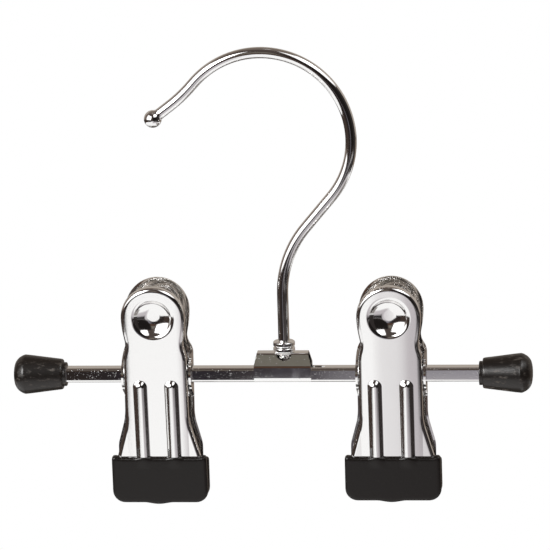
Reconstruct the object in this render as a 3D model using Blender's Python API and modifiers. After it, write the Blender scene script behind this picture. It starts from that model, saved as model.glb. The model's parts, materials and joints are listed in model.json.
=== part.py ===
"""Clip hanger: a wire hook swivels on a short square bar, and two spring clips slide along the bar.

The origin is the underside of the hook's crown, where it hangs on a rail. X runs along the bar,
-Y is the front, and +Z is up.
"""

import math

import bmesh
import bpy
from mathutils import Vector

MM = 0.001

# Fits that pieces share
RUNNING_GAP = 0.3 * MM
SEAT_GAP = 0.2 * MM
SWIVEL_GAP = 0.25 * MM
CUT_OVERRUN = 1.0 * MM
WELD_DISTANCE = 0.001 * MM

# Facets
ROUND_STEPS = 24
CORNER_STEPS = 3
HOOK_ARC_STEP = math.radians(6)
FLAT_ANGLE = math.radians(1)

# Square bar, a tube of rolled strip
BAR_SIDE = 4.6 * MM
BAR_CORNER = 0.9 * MM
BAR_WALL = 0.8 * MM
OVERALL_LENGTH = 162.2 * MM
STEM_FROM_MIDDLE = 4.0 * MM

# Hook: one length of wire, from its peened foot to its ball tip
WIRE_DIAMETER = 3.5 * MM
STEM_RUN = 16.6 * MM
STEM_BEND_RADIUS = 32.5 * MM
STEM_BEND_TURN = math.radians(40.4)
SLOPE_RUN = 12.6 * MM
CROOK_RADIUS = 27.5 * MM
CROOK_TURN = math.radians(179.5)
FLARE_RADIUS = 47.0 * MM
FLARE_TURN = math.radians(12.2)
TIP_RUN = 6.8 * MM
BALL_DIAMETER = 5.5 * MM
SHANK_DIAMETER = 1.8 * MM
SHOULDER_STEP = 0.1 * MM
FOOT_DIAMETER = 3.1 * MM
FOOT_HEIGHT = 1.6 * MM
FOOT_SHARES = ((0.0, 0.45), (0.12, 0.8), (0.35, 1.0), (1.0, 0.85))
BALL_SWEEP = math.radians(84)
BALL_STEPS = 7

# Collar on the wire and washer under it
COLLAR_DIAMETER = 6.8 * MM
COLLAR_HEIGHT = 1.6 * MM
WASHER_HEIGHT = 1.5 * MM
COLLAR_EDGE = 0.35 * MM

# Saddle bracket of folded sheet over the bar
BRACKET_WALL = 0.5 * MM
BRACKET_WIDTH = 17.8 * MM
END_LEAN = 0.95 * MM
BRACKET_SHIFT = 0.5 * MM
PLATE_DEPTH = 4.1 * MM
PLATE_HEIGHT = 7.05 * MM
SHOULDER_HEIGHT = 2.75 * MM
SKIRT_FOOT = 1.85 * MM
BRACKET_BEND = 0.7 * MM
NOTCH_WIDTH = 4.6 * MM
NOTCH_DEPTH = 1.9 * MM

# Moulded caps on the bar's ends
CAP_LENGTH = 15.5 * MM
CAP_BULGE_DIAMETER = 12.4 * MM
CAP_DOME_LENGTH = 3.4 * MM
CAP_MOUTH_DIAMETER = 9.5 * MM
CAP_EDGE = 0.6 * MM
CAP_FLOOR = 3.0 * MM
LIP_DIAMETER = 7.5 * MM
LIP_LENGTH = 1.1 * MM
LIP_EDGE = 0.2 * MM
DOME_STEPS = 5

# Clips on the bar, placed from the bar's middle
CLIP_PLACES = {"left": -36.0 * MM, "right": 37.2 * MM}

# Pressed jaw plates: heights are from the bar's axis
SHEET = 0.7 * MM
PLATE_FACE = 5.6 * MM
THUMB_RADIUS = 10.0 * MM
THUMB_CENTRE = 19.95 * MM
NECK_HALF_WIDTH = 8.9 * MM
NECK_CENTRE = 11.3 * MM
EAR_TOP = 7.6 * MM
FRONT_EAR_HALF_WIDTH = 9.9 * MM
EAR_RADIUS = 4.4 * MM
FLARE_START = 14.2 * MM
FLARE_SLOPE_SHARE = 0.28
FLARE_EASE = 1.5 * MM
FOOT_HALF_WIDTH = 13.3 * MM
FOOT_CORNER = 3.0 * MM
PLATE_FOOT = 38.9 * MM
EDGE_BEND = 1.2 * MM
EDGE_DEPTH = 2.4 * MM
UNROLLED_EDGE = 0.4 * MM
EDGE_FADE_LENGTH = 8.0 * MM
FADE_SHARES = (0.72, 0.57, 0.42, 0.28, 0.14, 0.0)
BEND_STEPS = 3

# Dish pressed into the thumb end, as shares of its radius and depth
DISH_CENTRE = 20.0 * MM
DISH_RADIUS = 6.85 * MM
DISH_DEPTH = 1.4 * MM
DISH_SHARES = ((1.0, 0.0), (0.92, 0.24), (0.76, 0.36), (0.69, 0.6), (0.48, 0.88), (0.2, 1.0))
DISH_STEPS = 24

# Two ribs pressed out of the lower half
RIB_OFFSET = 4.9 * MM
RIB_WIDTH = 4.5 * MM
RIB_TOP = 0.4 * MM
RIB_HEIGHT = 1.1 * MM
RIB_END_GAP = 0.3 * MM
RIB_SHARES = ((0.0, 0.0), (0.25, 0.7), (0.5, 1.0))
RIB_STEPS = 8

# Vinyl dip on each jaw
TIP_TOP = 25.6 * MM
TIP_FOOT = 41.3 * MM
BACK_TIP_DROP = 2.0 * MM
TIP_TOP_HALF_WIDTH = 14.8 * MM
TIP_FOOT_HALF_WIDTH = 14.95 * MM
TIP_TOP_CORNER = 1.3 * MM
TIP_EAR_RISE = 0.6 * MM
TIP_EAR_RUN = 2.6 * MM
TIP_STEPS = 4
TIP_FOOT_CORNER = 3.9 * MM
TIP_COAT = 0.9 * MM
TIP_EDGE = 0.75 * MM
TIP_GAP = 0.3 * MM

# Leaf spring: a strip bent round under the bar, its arms behind the dishes
SPRING_WIDTH = 8.0 * MM
SPRING_SHEET = 0.5 * MM
SPRING_CURL_RADIUS = 1.5 * MM
SPRING_CURL_TURN = math.radians(55)
SPRING_STEPS = 14

# Worked out from the sizes above
WIRE_RADIUS = WIRE_DIAMETER / 2
BAR_HALF = BAR_SIDE / 2
BAR_REACH = (BAR_HALF - BAR_CORNER) * math.sqrt(2) + BAR_CORNER
CAP_TOTAL = CAP_LENGTH + LIP_LENGTH
BAR_LENGTH = OVERALL_LENGTH - 2 * (CAP_FLOOR + RUNNING_GAP)
WASHER_BASE = PLATE_HEIGHT + SEAT_GAP
COLLAR_BASE = WASHER_BASE + WASHER_HEIGHT + SEAT_GAP
FOOT_BASE = PLATE_HEIGHT - BRACKET_WALL - RUNNING_GAP - FOOT_HEIGHT
BRACKET_HALF_DEPTH = BAR_HALF + RUNNING_GAP + BRACKET_WALL
TOP_HALF_WIDTH = BRACKET_WIDTH / 2 - END_LEAN
BACK_EAR_HALF_WIDTH = FRONT_EAR_HALF_WIDTH + RUNNING_GAP + SHEET
EAR_HOLE_RADIUS = BAR_REACH + RUNNING_GAP
TIP_INSIDE = PLATE_FACE - SHEET - RUNNING_GAP - TIP_COAT
JAW_TILT = math.asin((TIP_INSIDE - TIP_GAP / 2) / (TIP_FOOT - TIP_EDGE))
SPRING_RADIUS = BAR_REACH + RUNNING_GAP + SPRING_SHEET / 2

PARTS = "clip_hanger"
CUTTERS = "cutters"


def clear_scene():
    for item in list(bpy.data.objects):
        bpy.data.objects.remove(item, do_unlink=True)


def collection(name):
    made = bpy.data.collections.new(name)
    bpy.context.scene.collection.children.link(made)
    return made


def material(name, colour, roughness, metallic):
    made = bpy.data.materials.new(name)
    made.use_nodes = True
    shader = made.node_tree.nodes["Principled BSDF"]
    shader.inputs["Base Color"].default_value = (*colour, 1.0)
    shader.inputs["Roughness"].default_value = roughness
    shader.inputs["Metallic"].default_value = metallic
    return made


def chrome(name):
    return material(name + "_chrome", (0.80, 0.80, 0.80), 0.08, 1.0)


def black_vinyl(name):
    return material(name + "_vinyl", (0.022, 0.019, 0.017), 0.45, 0.0)


def place(obj, parent, home=PARTS):
    bpy.data.collections[home].objects.link(obj)
    obj.parent = parent
    return obj


def axis_empty(name, location, parent=None, rotation=(0, 0, 0)):
    empty = place(bpy.data.objects.new(name, None), parent)
    empty.location = location
    empty.rotation_euler = rotation
    empty.empty_display_size = EDGE_DEPTH
    return empty


def smooth(mesh):
    mesh.shade_smooth()
    mesh.set_sharp_from_angle(angle=math.radians(35))


def rounded(corners, steps=CORNER_STEPS):
    """A closed outline from corners (x, y, radius), each rounded by an arc."""
    points = []
    for index, (x, y, radius) in enumerate(corners):
        here = Vector((x, y))
        back = (Vector(corners[index - 1][:2]) - here).normalized()
        onward = (Vector(corners[(index + 1) % len(corners)][:2]) - here).normalized()
        half = back.angle(onward) / 2
        if not radius:
            points.append(tuple(here))
            continue
        centre = here + (back + onward).normalized() * radius / math.sin(half)
        first = here + back * radius / math.tan(half) - centre
        last = here + onward * radius / math.tan(half) - centre
        start = math.atan2(first.y, first.x)
        turn = (math.atan2(last.y, last.x) - start + math.pi) % math.tau - math.pi
        for step in range(steps + 1):
            angle = start + turn * step / steps
            points.append((centre.x + radius * math.cos(angle), centre.y + radius * math.sin(angle)))
    return points


def extruded_mesh(name, outlines, width):
    """A flat outline with any holes in it, made as thick as width, as a welded mesh."""
    curve = bpy.data.curves.new(name, "CURVE")
    curve.dimensions = "2D"
    curve.fill_mode = "BOTH"
    curve.extrude = width / 2
    for outline in outlines:
        spline = curve.splines.new("POLY")
        spline.points.add(len(outline) - 1)
        spline.use_cyclic_u = True
        for point, (x, y) in zip(spline.points, outline):
            point.co = (x, y, 0, 1)
    guide = place(bpy.data.objects.new(name + "_guide", curve), None, CUTTERS)
    graph = bpy.context.evaluated_depsgraph_get()
    mesh = bpy.data.meshes.new_from_object(guide.evaluated_get(graph))
    mesh.name = name
    bpy.data.objects.remove(guide)
    bm = bmesh.new()
    bm.from_mesh(mesh)
    bmesh.ops.remove_doubles(bm, verts=bm.verts, dist=WELD_DISTANCE)
    bmesh.ops.recalc_face_normals(bm, faces=bm.faces)
    bm.to_mesh(mesh)
    bm.free()
    smooth(mesh)
    return mesh


def merge_flat_faces(mesh):
    """Makes each flat face one polygon again, so that Bevel follows its outline."""
    bm = bmesh.new()
    bm.from_mesh(mesh)
    bmesh.ops.dissolve_limit(bm, angle_limit=FLAT_ANGLE, verts=bm.verts, edges=bm.edges)
    bm.to_mesh(mesh)
    bm.free()


def along_bar(name, outlines, width, parent, home=PARTS):
    """A section drawn across the bar, (y, z), and extruded along it."""
    obj = place(bpy.data.objects.new(name, extruded_mesh(name, outlines, width)), parent, home)
    obj.rotation_euler = (math.pi / 2, 0, math.pi / 2)
    return obj


def from_front(name, outlines, width, parent, home=PARTS):
    """An outline drawn from the front, (x, z), and extruded through the depth."""
    obj = place(bpy.data.objects.new(name, extruded_mesh(name, outlines, width)), parent, home)
    obj.rotation_euler = (math.pi / 2, 0, 0)
    return obj


def turned(name, profile, parent, ring=False):
    """A profile (radius, z), top to bottom down its outer side, turned round local Z."""
    count = len(profile)
    edges = [(i, i + 1) for i in range(count - 1)]
    if ring:
        edges.append((count - 1, 0))
    mesh = bpy.data.meshes.new(name)
    mesh.from_pydata([(radius, 0, z) for radius, z in profile], edges, [])
    obj = place(bpy.data.objects.new(name, mesh), parent)
    screw = obj.modifiers.new("turn", "SCREW")
    screw.steps = ROUND_STEPS
    screw.render_steps = ROUND_STEPS
    screw.use_merge_vertices = True
    screw.merge_threshold = WELD_DISTANCE
    return obj


def cylinder_cutter(name, radius, length, parent, rotation=(0, 0, 0)):
    mesh = bpy.data.meshes.new(name)
    bm = bmesh.new()
    bmesh.ops.create_cone(
        bm, cap_ends=True, segments=ROUND_STEPS, radius1=radius, radius2=radius, depth=length
    )
    bm.to_mesh(mesh)
    bm.free()
    cutter = place(bpy.data.objects.new(name, mesh), parent, CUTTERS)
    cutter.rotation_euler = rotation
    return as_cutter(cutter)


def as_cutter(obj):
    obj.hide_render = True
    obj.display_type = "WIRE"
    return obj


def cut(obj, *cutters):
    for cutter in cutters:
        modifier = obj.modifiers.new("cut_" + cutter.name, "BOOLEAN")
        modifier.operation = "DIFFERENCE"
        modifier.solver = "EXACT"
        modifier.object = cutter


# Hook


class Wire:
    """A bent wire's middle line in the XZ plane, laid run by run as (x, z, radius) points."""

    def __init__(self, z, heading):
        self.x = 0.0
        self.z = z
        self.heading = heading
        self.points = []

    def mark(self, radius):
        self.points.append((self.x, self.z, radius))

    def run(self, length, radius):
        self.x += length * math.cos(self.heading)
        self.z += length * math.sin(self.heading)
        self.mark(radius)

    def bend(self, bend_radius, turn, radius):
        """Turns left by a positive angle and right by a negative one, and returns the bend's centre."""
        side = math.copysign(bend_radius, turn)
        centre_x = self.x - side * math.sin(self.heading)
        centre_z = self.z + side * math.cos(self.heading)
        start = self.heading
        steps = math.ceil(abs(turn) / HOOK_ARC_STEP)
        for step in range(1, steps + 1):
            self.heading = start + turn * step / steps
            self.x = centre_x + side * math.sin(self.heading)
            self.z = centre_z - side * math.cos(self.heading)
            self.mark(radius)
        return centre_x, centre_z


def hook_wire():
    """The hook's wire and the centre of its crook, from the stem's axis and the bar's axis."""
    wire = Wire(FOOT_BASE, math.pi / 2)
    for height_share, radius_share in FOOT_SHARES:
        wire.z = FOOT_BASE + FOOT_HEIGHT * height_share
        wire.mark(FOOT_DIAMETER / 2 * radius_share)
    for z, radius in (
        (FOOT_BASE + FOOT_HEIGHT + SHOULDER_STEP, SHANK_DIAMETER / 2),
        (COLLAR_BASE - SHOULDER_STEP, SHANK_DIAMETER / 2),
        (COLLAR_BASE, WIRE_RADIUS),
        (COLLAR_BASE + STEM_RUN, WIRE_RADIUS),
    ):
        wire.z = z
        wire.mark(radius)
    wire.bend(STEM_BEND_RADIUS, -STEM_BEND_TURN, WIRE_RADIUS)
    wire.run(SLOPE_RUN, WIRE_RADIUS)
    crook = wire.bend(CROOK_RADIUS, CROOK_TURN, WIRE_RADIUS)
    wire.bend(FLARE_RADIUS, -FLARE_TURN, WIRE_RADIUS)
    ball = BALL_DIAMETER / 2
    neck = math.acos(WIRE_RADIUS / ball)
    wire.run(TIP_RUN - ball * math.sin(neck), WIRE_RADIUS)
    done = -neck
    for step in range(1, BALL_STEPS + 1):
        angle = -neck + (BALL_SWEEP + neck) * step / BALL_STEPS
        wire.run(ball * (math.sin(angle) - math.sin(done)), ball * math.cos(angle))
        done = angle
    return wire.points, crook


def make_hook(points, stem):
    curve = bpy.data.curves.new("hook", "CURVE")
    curve.dimensions = "3D"
    curve.bevel_depth = WIRE_RADIUS
    curve.bevel_resolution = 4
    curve.use_fill_caps = True
    spline = curve.splines.new("POLY")
    spline.points.add(len(points) - 1)
    for point, (x, z, radius) in zip(spline.points, points):
        point.co = (x, 0, z, 1)
        point.radius = radius / WIRE_RADIUS
    hook = place(bpy.data.objects.new("hook", curve), stem)
    hook.data.materials.append(chrome("hook"))


def ring_profile(outer, bore, base, height):
    """A ring with its outer edges broken, down its outer side and up its bore."""
    top = base + height
    return [
        (bore, top),
        (outer - COLLAR_EDGE, top),
        (outer, top - COLLAR_EDGE),
        (outer, base + COLLAR_EDGE),
        (outer - COLLAR_EDGE, base),
        (bore, base),
    ]


def make_ring(name, bore, base, height, parent):
    ring = turned(name, ring_profile(COLLAR_DIAMETER / 2, bore, base, height), parent, ring=True)
    ring.data.materials.append(chrome(name))


# Bar, bracket and caps


def square(side, corner):
    half = side / 2
    return rounded([
        (half, half, corner),
        (-half, half, corner),
        (-half, -half, corner),
        (half, -half, corner),
    ])


def make_bar(parent):
    bore = square(BAR_SIDE - 2 * BAR_WALL, BAR_CORNER / 3)
    bar = along_bar("bar", [square(BAR_SIDE, BAR_CORNER), bore], BAR_LENGTH, parent)
    bar.data.materials.append(chrome("bar"))


def bracket_section():
    """The saddle's section: down one wall, over the flat top, and back along the inside."""
    outer, plate = BRACKET_HALF_DEPTH, PLATE_DEPTH / 2
    inner, under = outer - BRACKET_WALL, PLATE_HEIGHT - BRACKET_WALL
    bend = BRACKET_BEND
    return rounded([
        (-outer, -SKIRT_FOOT, 0),
        (-inner, -SKIRT_FOOT, 0),
        (-inner, SHOULDER_HEIGHT, bend),
        (BRACKET_WALL - plate, under, bend - BRACKET_WALL),
        (plate - BRACKET_WALL, under, bend - BRACKET_WALL),
        (inner, SHOULDER_HEIGHT, bend),
        (inner, -SKIRT_FOOT, 0),
        (outer, -SKIRT_FOOT, 0),
        (outer, SHOULDER_HEIGHT, bend),
        (plate, PLATE_HEIGHT, bend),
        (-plate, PLATE_HEIGHT, bend),
        (-outer, SHOULDER_HEIGHT, bend),
    ])


def make_bracket(stem):
    bracket = along_bar("centre_bracket", [bracket_section()], BRACKET_WIDTH, stem)
    bracket.location = (-BRACKET_SHIFT, 0, 0)
    bracket.data.materials.append(chrome("centre_bracket"))
    depth = 2 * (BRACKET_HALF_DEPTH + CUT_OVERRUN)
    low, high = BRACKET_WIDTH / 2, TOP_HALF_WIDTH
    rise = PLATE_HEIGHT - SHOULDER_HEIGHT
    beyond = low + (low - high) * CUT_OVERRUN / rise
    for side in (-1, 1):
        corner = [
            (side * beyond, SHOULDER_HEIGHT - CUT_OVERRUN),
            (side * (low + CUT_OVERRUN), SHOULDER_HEIGHT - CUT_OVERRUN),
            (side * (low + CUT_OVERRUN), PLATE_HEIGHT + CUT_OVERRUN),
            (side * (2 * high - beyond), PLATE_HEIGHT + CUT_OVERRUN),
        ]
        end_cutter = as_cutter(from_front(f"end_cutter_{side}", [corner], depth, stem, CUTTERS))
        end_cutter.location = (-BRACKET_SHIFT, 0, 0)
        cut(bracket, end_cutter)
    top = PLATE_HEIGHT - BRACKET_WALL
    half = NOTCH_WIDTH / 2
    arc = [math.pi * (1 + step / ROUND_STEPS) for step in range(ROUND_STEPS + 1)]
    notch = [(half * math.cos(angle), top + NOTCH_DEPTH * math.sin(angle)) for angle in arc]
    notch_cutter = as_cutter(from_front("notch_cutter", [notch], BRACKET_HALF_DEPTH, stem, CUTTERS))
    notch_cutter.location = (0, -BRACKET_HALF_DEPTH, 0)
    bore = SHANK_DIAMETER / 2 + SWIVEL_GAP
    shank_cutter = cylinder_cutter("shank_cutter", bore, BRACKET_WIDTH, stem)
    shank_cutter.location = (0, 0, PLATE_HEIGHT + BRACKET_WIDTH / 2 - BRACKET_WALL - CUT_OVERRUN)
    cut(bracket, notch_cutter, shank_cutter)


def cap_profile():
    """The cap from its lip, at the top, to the middle of its domed end, at the bottom."""
    bulge, mouth, lip = CAP_BULGE_DIAMETER / 2, CAP_MOUTH_DIAMETER / 2, LIP_DIAMETER / 2
    points = [
        (0, CAP_TOTAL),
        (lip - LIP_EDGE, CAP_TOTAL),
        (lip, CAP_TOTAL - LIP_EDGE),
        (lip, CAP_LENGTH),
        (mouth - CAP_EDGE, CAP_LENGTH),
        (mouth, CAP_LENGTH - CAP_EDGE),
    ]
    for step in range(DOME_STEPS + 1):
        angle = math.pi / 2 * step / DOME_STEPS
        points.append((bulge * math.cos(angle), CAP_DOME_LENGTH * (1 - math.sin(angle))))
    points[-1] = (0, 0)
    return points


def make_caps(bar_middle):
    socket = square(BAR_SIDE + 2 * RUNNING_GAP, BAR_CORNER)
    for name, side in (("left_end_cap", -1), ("right_end_cap", 1)):
        cap = turned(name, cap_profile(), bar_middle)
        cap.location = (side * OVERALL_LENGTH / 2, 0, 0)
        cap.rotation_euler = (0, -side * math.pi / 2, 0)
        cap.data.materials.append(black_vinyl(name))
        length = BAR_LENGTH + 2 * RUNNING_GAP
        cut(cap, as_cutter(along_bar(name + "_socket", [socket], length, bar_middle, CUTTERS)))


# Jaws


def ease(share):
    return (1 - math.cos(math.pi * share)) / 2


def edge_fade(z):
    """1 where the plate's edge is turned in, falling to 0 where the dip covers a flat edge."""
    return ease(min(max((z + TIP_TOP) / EDGE_FADE_LENGTH, 0), 1))


def half_width(z, ear):
    if z >= NECK_CENTRE:
        share = ease((z - NECK_CENTRE) / (THUMB_CENTRE - NECK_CENTRE))
        return NECK_HALF_WIDTH + (THUMB_RADIUS - NECK_HALF_WIDTH) * share
    if z >= EAR_TOP:
        return ear + (NECK_HALF_WIDTH - ear) * ease((z - EAR_TOP) / (NECK_CENTRE - EAR_TOP))
    below = -z - FLARE_START
    flare = FLARE_SLOPE_SHARE * (below + math.hypot(below, FLARE_EASE)) / 2
    return min(ear + flare, FOOT_HALF_WIDTH)


def flange_depth(z):
    """How deep the edge is turned in: a rim all round, and an ear that passes the bar on each side."""
    root = EAR_RADIUS * math.cos(math.radians(25))
    if abs(z) <= root:
        return PLATE_FACE + math.sqrt(EAR_RADIUS**2 - z**2)
    if abs(z) >= EAR_TOP:
        return EDGE_DEPTH
    full = PLATE_FACE + math.sqrt(EAR_RADIUS**2 - root**2)
    return full + (EDGE_DEPTH - full) * ease((abs(z) - root) / (EAR_TOP - root))


def side_heights():
    """Where the outline has points below the thumb end, from its middle down to the foot's corner."""
    ear = [EAR_RADIUS * math.sin(math.radians(angle)) for angle in (65, 45, 24, 0)]
    root = [EAR_TOP + (ear[0] - EAR_TOP) * share for share in (0.0, 0.4, 0.75)]
    upper = root + ear
    neck = [THUMB_CENTRE + (NECK_CENTRE - THUMB_CENTRE) * share for share in (0.35, 0.7, 1.0)]
    middle = (NECK_CENTRE + EAR_TOP) / 2
    lower = [-z for z in reversed(upper[:-1])]
    flare = [-FLARE_START + FLARE_EASE * count for count in (2, 1, 0, -1, -2)]
    fade = [-TIP_TOP + EDGE_FADE_LENGTH * share for share in FADE_SHARES]
    return neck + [middle] + upper + lower + flare + fade


def plate_outline(ear):
    """The plate's outline from the front, from the top round the right side to the foot and back."""
    side = []
    for step in range(8):
        angle = math.pi / 2 * (1 - step / 7)
        side.append((THUMB_RADIUS * math.cos(angle), THUMB_CENTRE + THUMB_RADIUS * math.sin(angle)))
    side += [(half_width(z, ear), z) for z in side_heights()]
    for step in range(CORNER_STEPS + 1):
        angle = -math.pi / 2 * step / CORNER_STEPS
        x = FOOT_HALF_WIDTH - FOOT_CORNER * (1 - math.cos(angle))
        side.append((x, FOOT_CORNER - PLATE_FOOT + FOOT_CORNER * math.sin(angle)))
    return side + [(-x, z) for x, z in reversed(side[1:])]


def outward(outline, index):
    """The outline's outward direction at one point, averaged over its two edges."""
    before = Vector(outline[index]) - Vector(outline[index - 1])
    after = Vector(outline[(index + 1) % len(outline)]) - Vector(outline[index])
    along = before.normalized() + after.normalized()
    return Vector((-along.y, along.x)).normalized()


def add_ring(bm, points):
    return [bm.verts.new((x, depth - PLATE_FACE, z)) for x, depth, z in points]


def join_rings(bm, rings):
    for first, second in zip(rings, rings[1:]):
        for index in range(len(first)):
            bm.faces.new((first[index - 1], first[index], second[index], second[index - 1]))


def ring_edges(bm, ring):
    return [bm.edges.get((ring[index - 1], ring[index])) for index in range(len(ring))]


def turned_in_edge(bm, ear):
    """The plate's edge, bent round and turned in, and its ears. Returns the flat face's border."""
    outline = plate_outline(ear)
    rings = [[] for _ in range(BEND_STEPS + 2)]
    for index, (x, z) in enumerate(outline):
        out = outward(outline, index)
        fade = edge_fade(z)
        for step in range(BEND_STEPS + 1):
            angle = math.pi / 2 * step / BEND_STEPS
            inset = EDGE_BEND * (1 - math.sin(angle))
            depth = EDGE_BEND * (1 - math.cos(angle)) * fade
            rings[step].append((x - out.x * inset, depth, z - out.y * inset))
        spread = UNROLLED_EDGE * (1 - fade)
        rings[-1].append((x + out.x * spread, flange_depth(z) * fade, z + out.y * spread))
    made = [add_ring(bm, ring) for ring in rings]
    join_rings(bm, made)
    return made[0]


def dish(bm):
    """The thumb dish, pressed in over a stepped rim. Returns its border."""
    rings = []
    for radius_share, depth_share in DISH_SHARES:
        radius = DISH_RADIUS * radius_share
        ring = []
        for step in range(DISH_STEPS):
            angle = math.tau * step / DISH_STEPS
            x, z = radius * math.cos(angle), DISH_CENTRE + radius * math.sin(angle)
            ring.append((x, DISH_DEPTH * depth_share, z))
        rings.append(add_ring(bm, ring))
    join_rings(bm, rings)
    bm.faces.new(rings[-1])
    return rings[0]


def rib(bm, middle):
    """One rib pressed out, round at its top and running down into the dip. Returns its border."""
    top = -RIB_TOP - RIB_WIDTH / 2
    foot = -TIP_TOP + RIB_END_GAP
    rings = []
    for inset_share, height_share in RIB_SHARES:
        inset = RIB_WIDTH / 2 * inset_share
        radius = RIB_WIDTH / 2 - inset
        height = -RIB_HEIGHT * height_share
        ring = []
        for step in range(RIB_STEPS + 1):
            angle = math.pi * step / RIB_STEPS
            ring.append((middle + radius * math.cos(angle), height, top + radius * math.sin(angle)))
        low = foot + inset * RIB_SHARES[-1][0]
        ring += [(middle - radius, height, low), (middle + radius, height, low)]
        rings.append(add_ring(bm, ring))
    join_rings(bm, rings)
    bm.faces.new(rings[-1])
    return rings[0]


def plate_mesh(name, ear):
    """A jaw plate's outer surface: flat face, turned-in edge with ears, dish and ribs."""
    bm = bmesh.new()
    borders = [turned_in_edge(bm, ear), dish(bm), rib(bm, -RIB_OFFSET), rib(bm, RIB_OFFSET)]
    edges = [edge for border in borders for edge in ring_edges(bm, border)]
    bmesh.ops.triangle_fill(bm, use_beauty=True, edges=edges, normal=(0, -1, 0))
    bmesh.ops.recalc_face_normals(bm, faces=bm.faces)
    widest = max(bm.faces, key=lambda face: face.calc_area())
    if widest.normal.y > 0:
        bmesh.ops.reverse_faces(bm, faces=bm.faces)
    mesh = bpy.data.meshes.new(name)
    bm.to_mesh(mesh)
    bm.free()
    smooth(mesh)
    return mesh


def make_jaw(name, mesh, pivot, hole_cutter):
    jaw = place(bpy.data.objects.new(name, mesh.copy()), pivot)
    jaw.data.materials.append(chrome(name))
    shell = jaw.modifiers.new("sheet", "SOLIDIFY")
    shell.thickness = SHEET
    shell.offset = -1
    shell.use_even_offset = True
    cut(jaw, hole_cutter)


def tip_outline(top):
    ear = TIP_EAR_RISE - top
    inner = TIP_TOP_HALF_WIDTH - TIP_EAR_RUN
    return rounded([
        (TIP_TOP_HALF_WIDTH, ear, TIP_TOP_CORNER),
        (inner, -top, TIP_TOP_CORNER),
        (-inner, -top, TIP_TOP_CORNER),
        (-TIP_TOP_HALF_WIDTH, ear, TIP_TOP_CORNER),
        (-TIP_FOOT_HALF_WIDTH, -TIP_FOOT, TIP_FOOT_CORNER),
        (TIP_FOOT_HALF_WIDTH, -TIP_FOOT, TIP_FOOT_CORNER),
    ], TIP_STEPS)


def pocket_outline(top):
    """The space in a dip for the plate's flat foot, open at the dip's top."""
    half = FOOT_HALF_WIDTH + UNROLLED_EDGE + RUNNING_GAP
    foot = -PLATE_FOOT - UNROLLED_EDGE - RUNNING_GAP
    above = TIP_EAR_RISE + CUT_OVERRUN - top
    return rounded([
        (half, above, 0),
        (-half, above, 0),
        (-half, foot, FOOT_CORNER),
        (half, foot, FOOT_CORNER),
    ])


def make_tip(name, pivot, top):
    """A dip of vinyl round the plate's foot, up to a height below the bar."""
    pocket_depth = SHEET + 2 * RUNNING_GAP
    tip = from_front(name, [tip_outline(top)], pocket_depth + 2 * TIP_COAT, pivot)
    tip.location = (0, SHEET / 2 - PLATE_FACE, 0)
    tip.data.materials.append(black_vinyl(name))
    merge_flat_faces(tip.data)
    edge = tip.modifiers.new("edge", "BEVEL")
    edge.width = TIP_EDGE
    edge.segments = 2
    edge.limit_method = "ANGLE"
    edge.angle_limit = math.radians(60)
    edge.use_clamp_overlap = False
    pocket = from_front(name + "_pocket", [pocket_outline(top)], pocket_depth, pivot, CUTTERS)
    pocket.location = tip.location
    cut(tip, as_cutter(pocket))


# Spring


def spring_path():
    """The strip's middle line (y, z): up one arm, round under the bar, and up the other."""
    depth = PLATE_FACE - DISH_DEPTH - SHEET - RUNNING_GAP - SPRING_SHEET / 2
    y = depth * math.cos(JAW_TILT) + DISH_CENTRE * math.sin(JAW_TILT)
    z = DISH_CENTRE * math.cos(JAW_TILT) - depth * math.sin(JAW_TILT)
    start = math.atan2(z, y) - math.acos(SPRING_RADIUS / math.hypot(y, z))
    lean = start
    arm = []
    for step in range(CORNER_STEPS + 1):
        turn = SPRING_CURL_TURN * (1 - step / CORNER_STEPS)
        y_in = SPRING_CURL_RADIUS * (math.cos(lean) - math.cos(lean + turn))
        z_up = SPRING_CURL_RADIUS * (math.sin(lean + turn) - math.sin(lean))
        arm.append((y - y_in, z + z_up))
    bight = []
    for step in range(SPRING_STEPS // 2 + 1):
        angle = start + (-math.pi / 2 - start) * 2 * step / SPRING_STEPS
        bight.append((SPRING_RADIUS * math.cos(angle), SPRING_RADIUS * math.sin(angle)))
    half = arm + bight
    return half + [(-y, z) for y, z in reversed(half[:-1])]


def strip_outline(path, thickness):
    """A closed outline half the thickness each side of an open path."""
    sides = ([], [])
    for index, point in enumerate(path):
        before = Vector(path[max(index - 1, 0)])
        after = Vector(path[min(index + 1, len(path) - 1)])
        along = (after - before).normalized()
        across = Vector((-along.y, along.x)) * thickness / 2
        sides[0].append(tuple(Vector(point) + across))
        sides[1].append(tuple(Vector(point) - across))
    return sides[0] + sides[1][::-1]


def make_clip(side, bar_middle, jaw_meshes):
    clip = axis_empty(side + "_clip", (CLIP_PLACES[side], 0, 0), bar_middle)
    outline = strip_outline(spring_path(), SPRING_SHEET)
    spring = along_bar(side + "_leaf_spring", [outline], SPRING_WIDTH, clip)
    spring.data.materials.append(material(side + "_spring_steel", (0.35, 0.34, 0.33), 0.3, 1.0))
    hole_length = 2 * (BACK_EAR_HALF_WIDTH + CUT_OVERRUN)
    hole_cutter = cylinder_cutter(
        side + "_ear_hole_cutter", EAR_HOLE_RADIUS, hole_length, clip, (0, math.pi / 2, 0)
    )
    for face, turn, top in (("front", 0, TIP_TOP), ("back", math.pi, TIP_TOP + BACK_TIP_DROP)):
        name = f"{side}_{face}_jaw"
        pivot = axis_empty(name + "_pivot", (0, 0, 0), clip, (JAW_TILT, 0, turn))
        make_jaw(name, jaw_meshes[face], pivot, hole_cutter)
        make_tip(f"{side}_{face}_tip", pivot, top)


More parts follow.
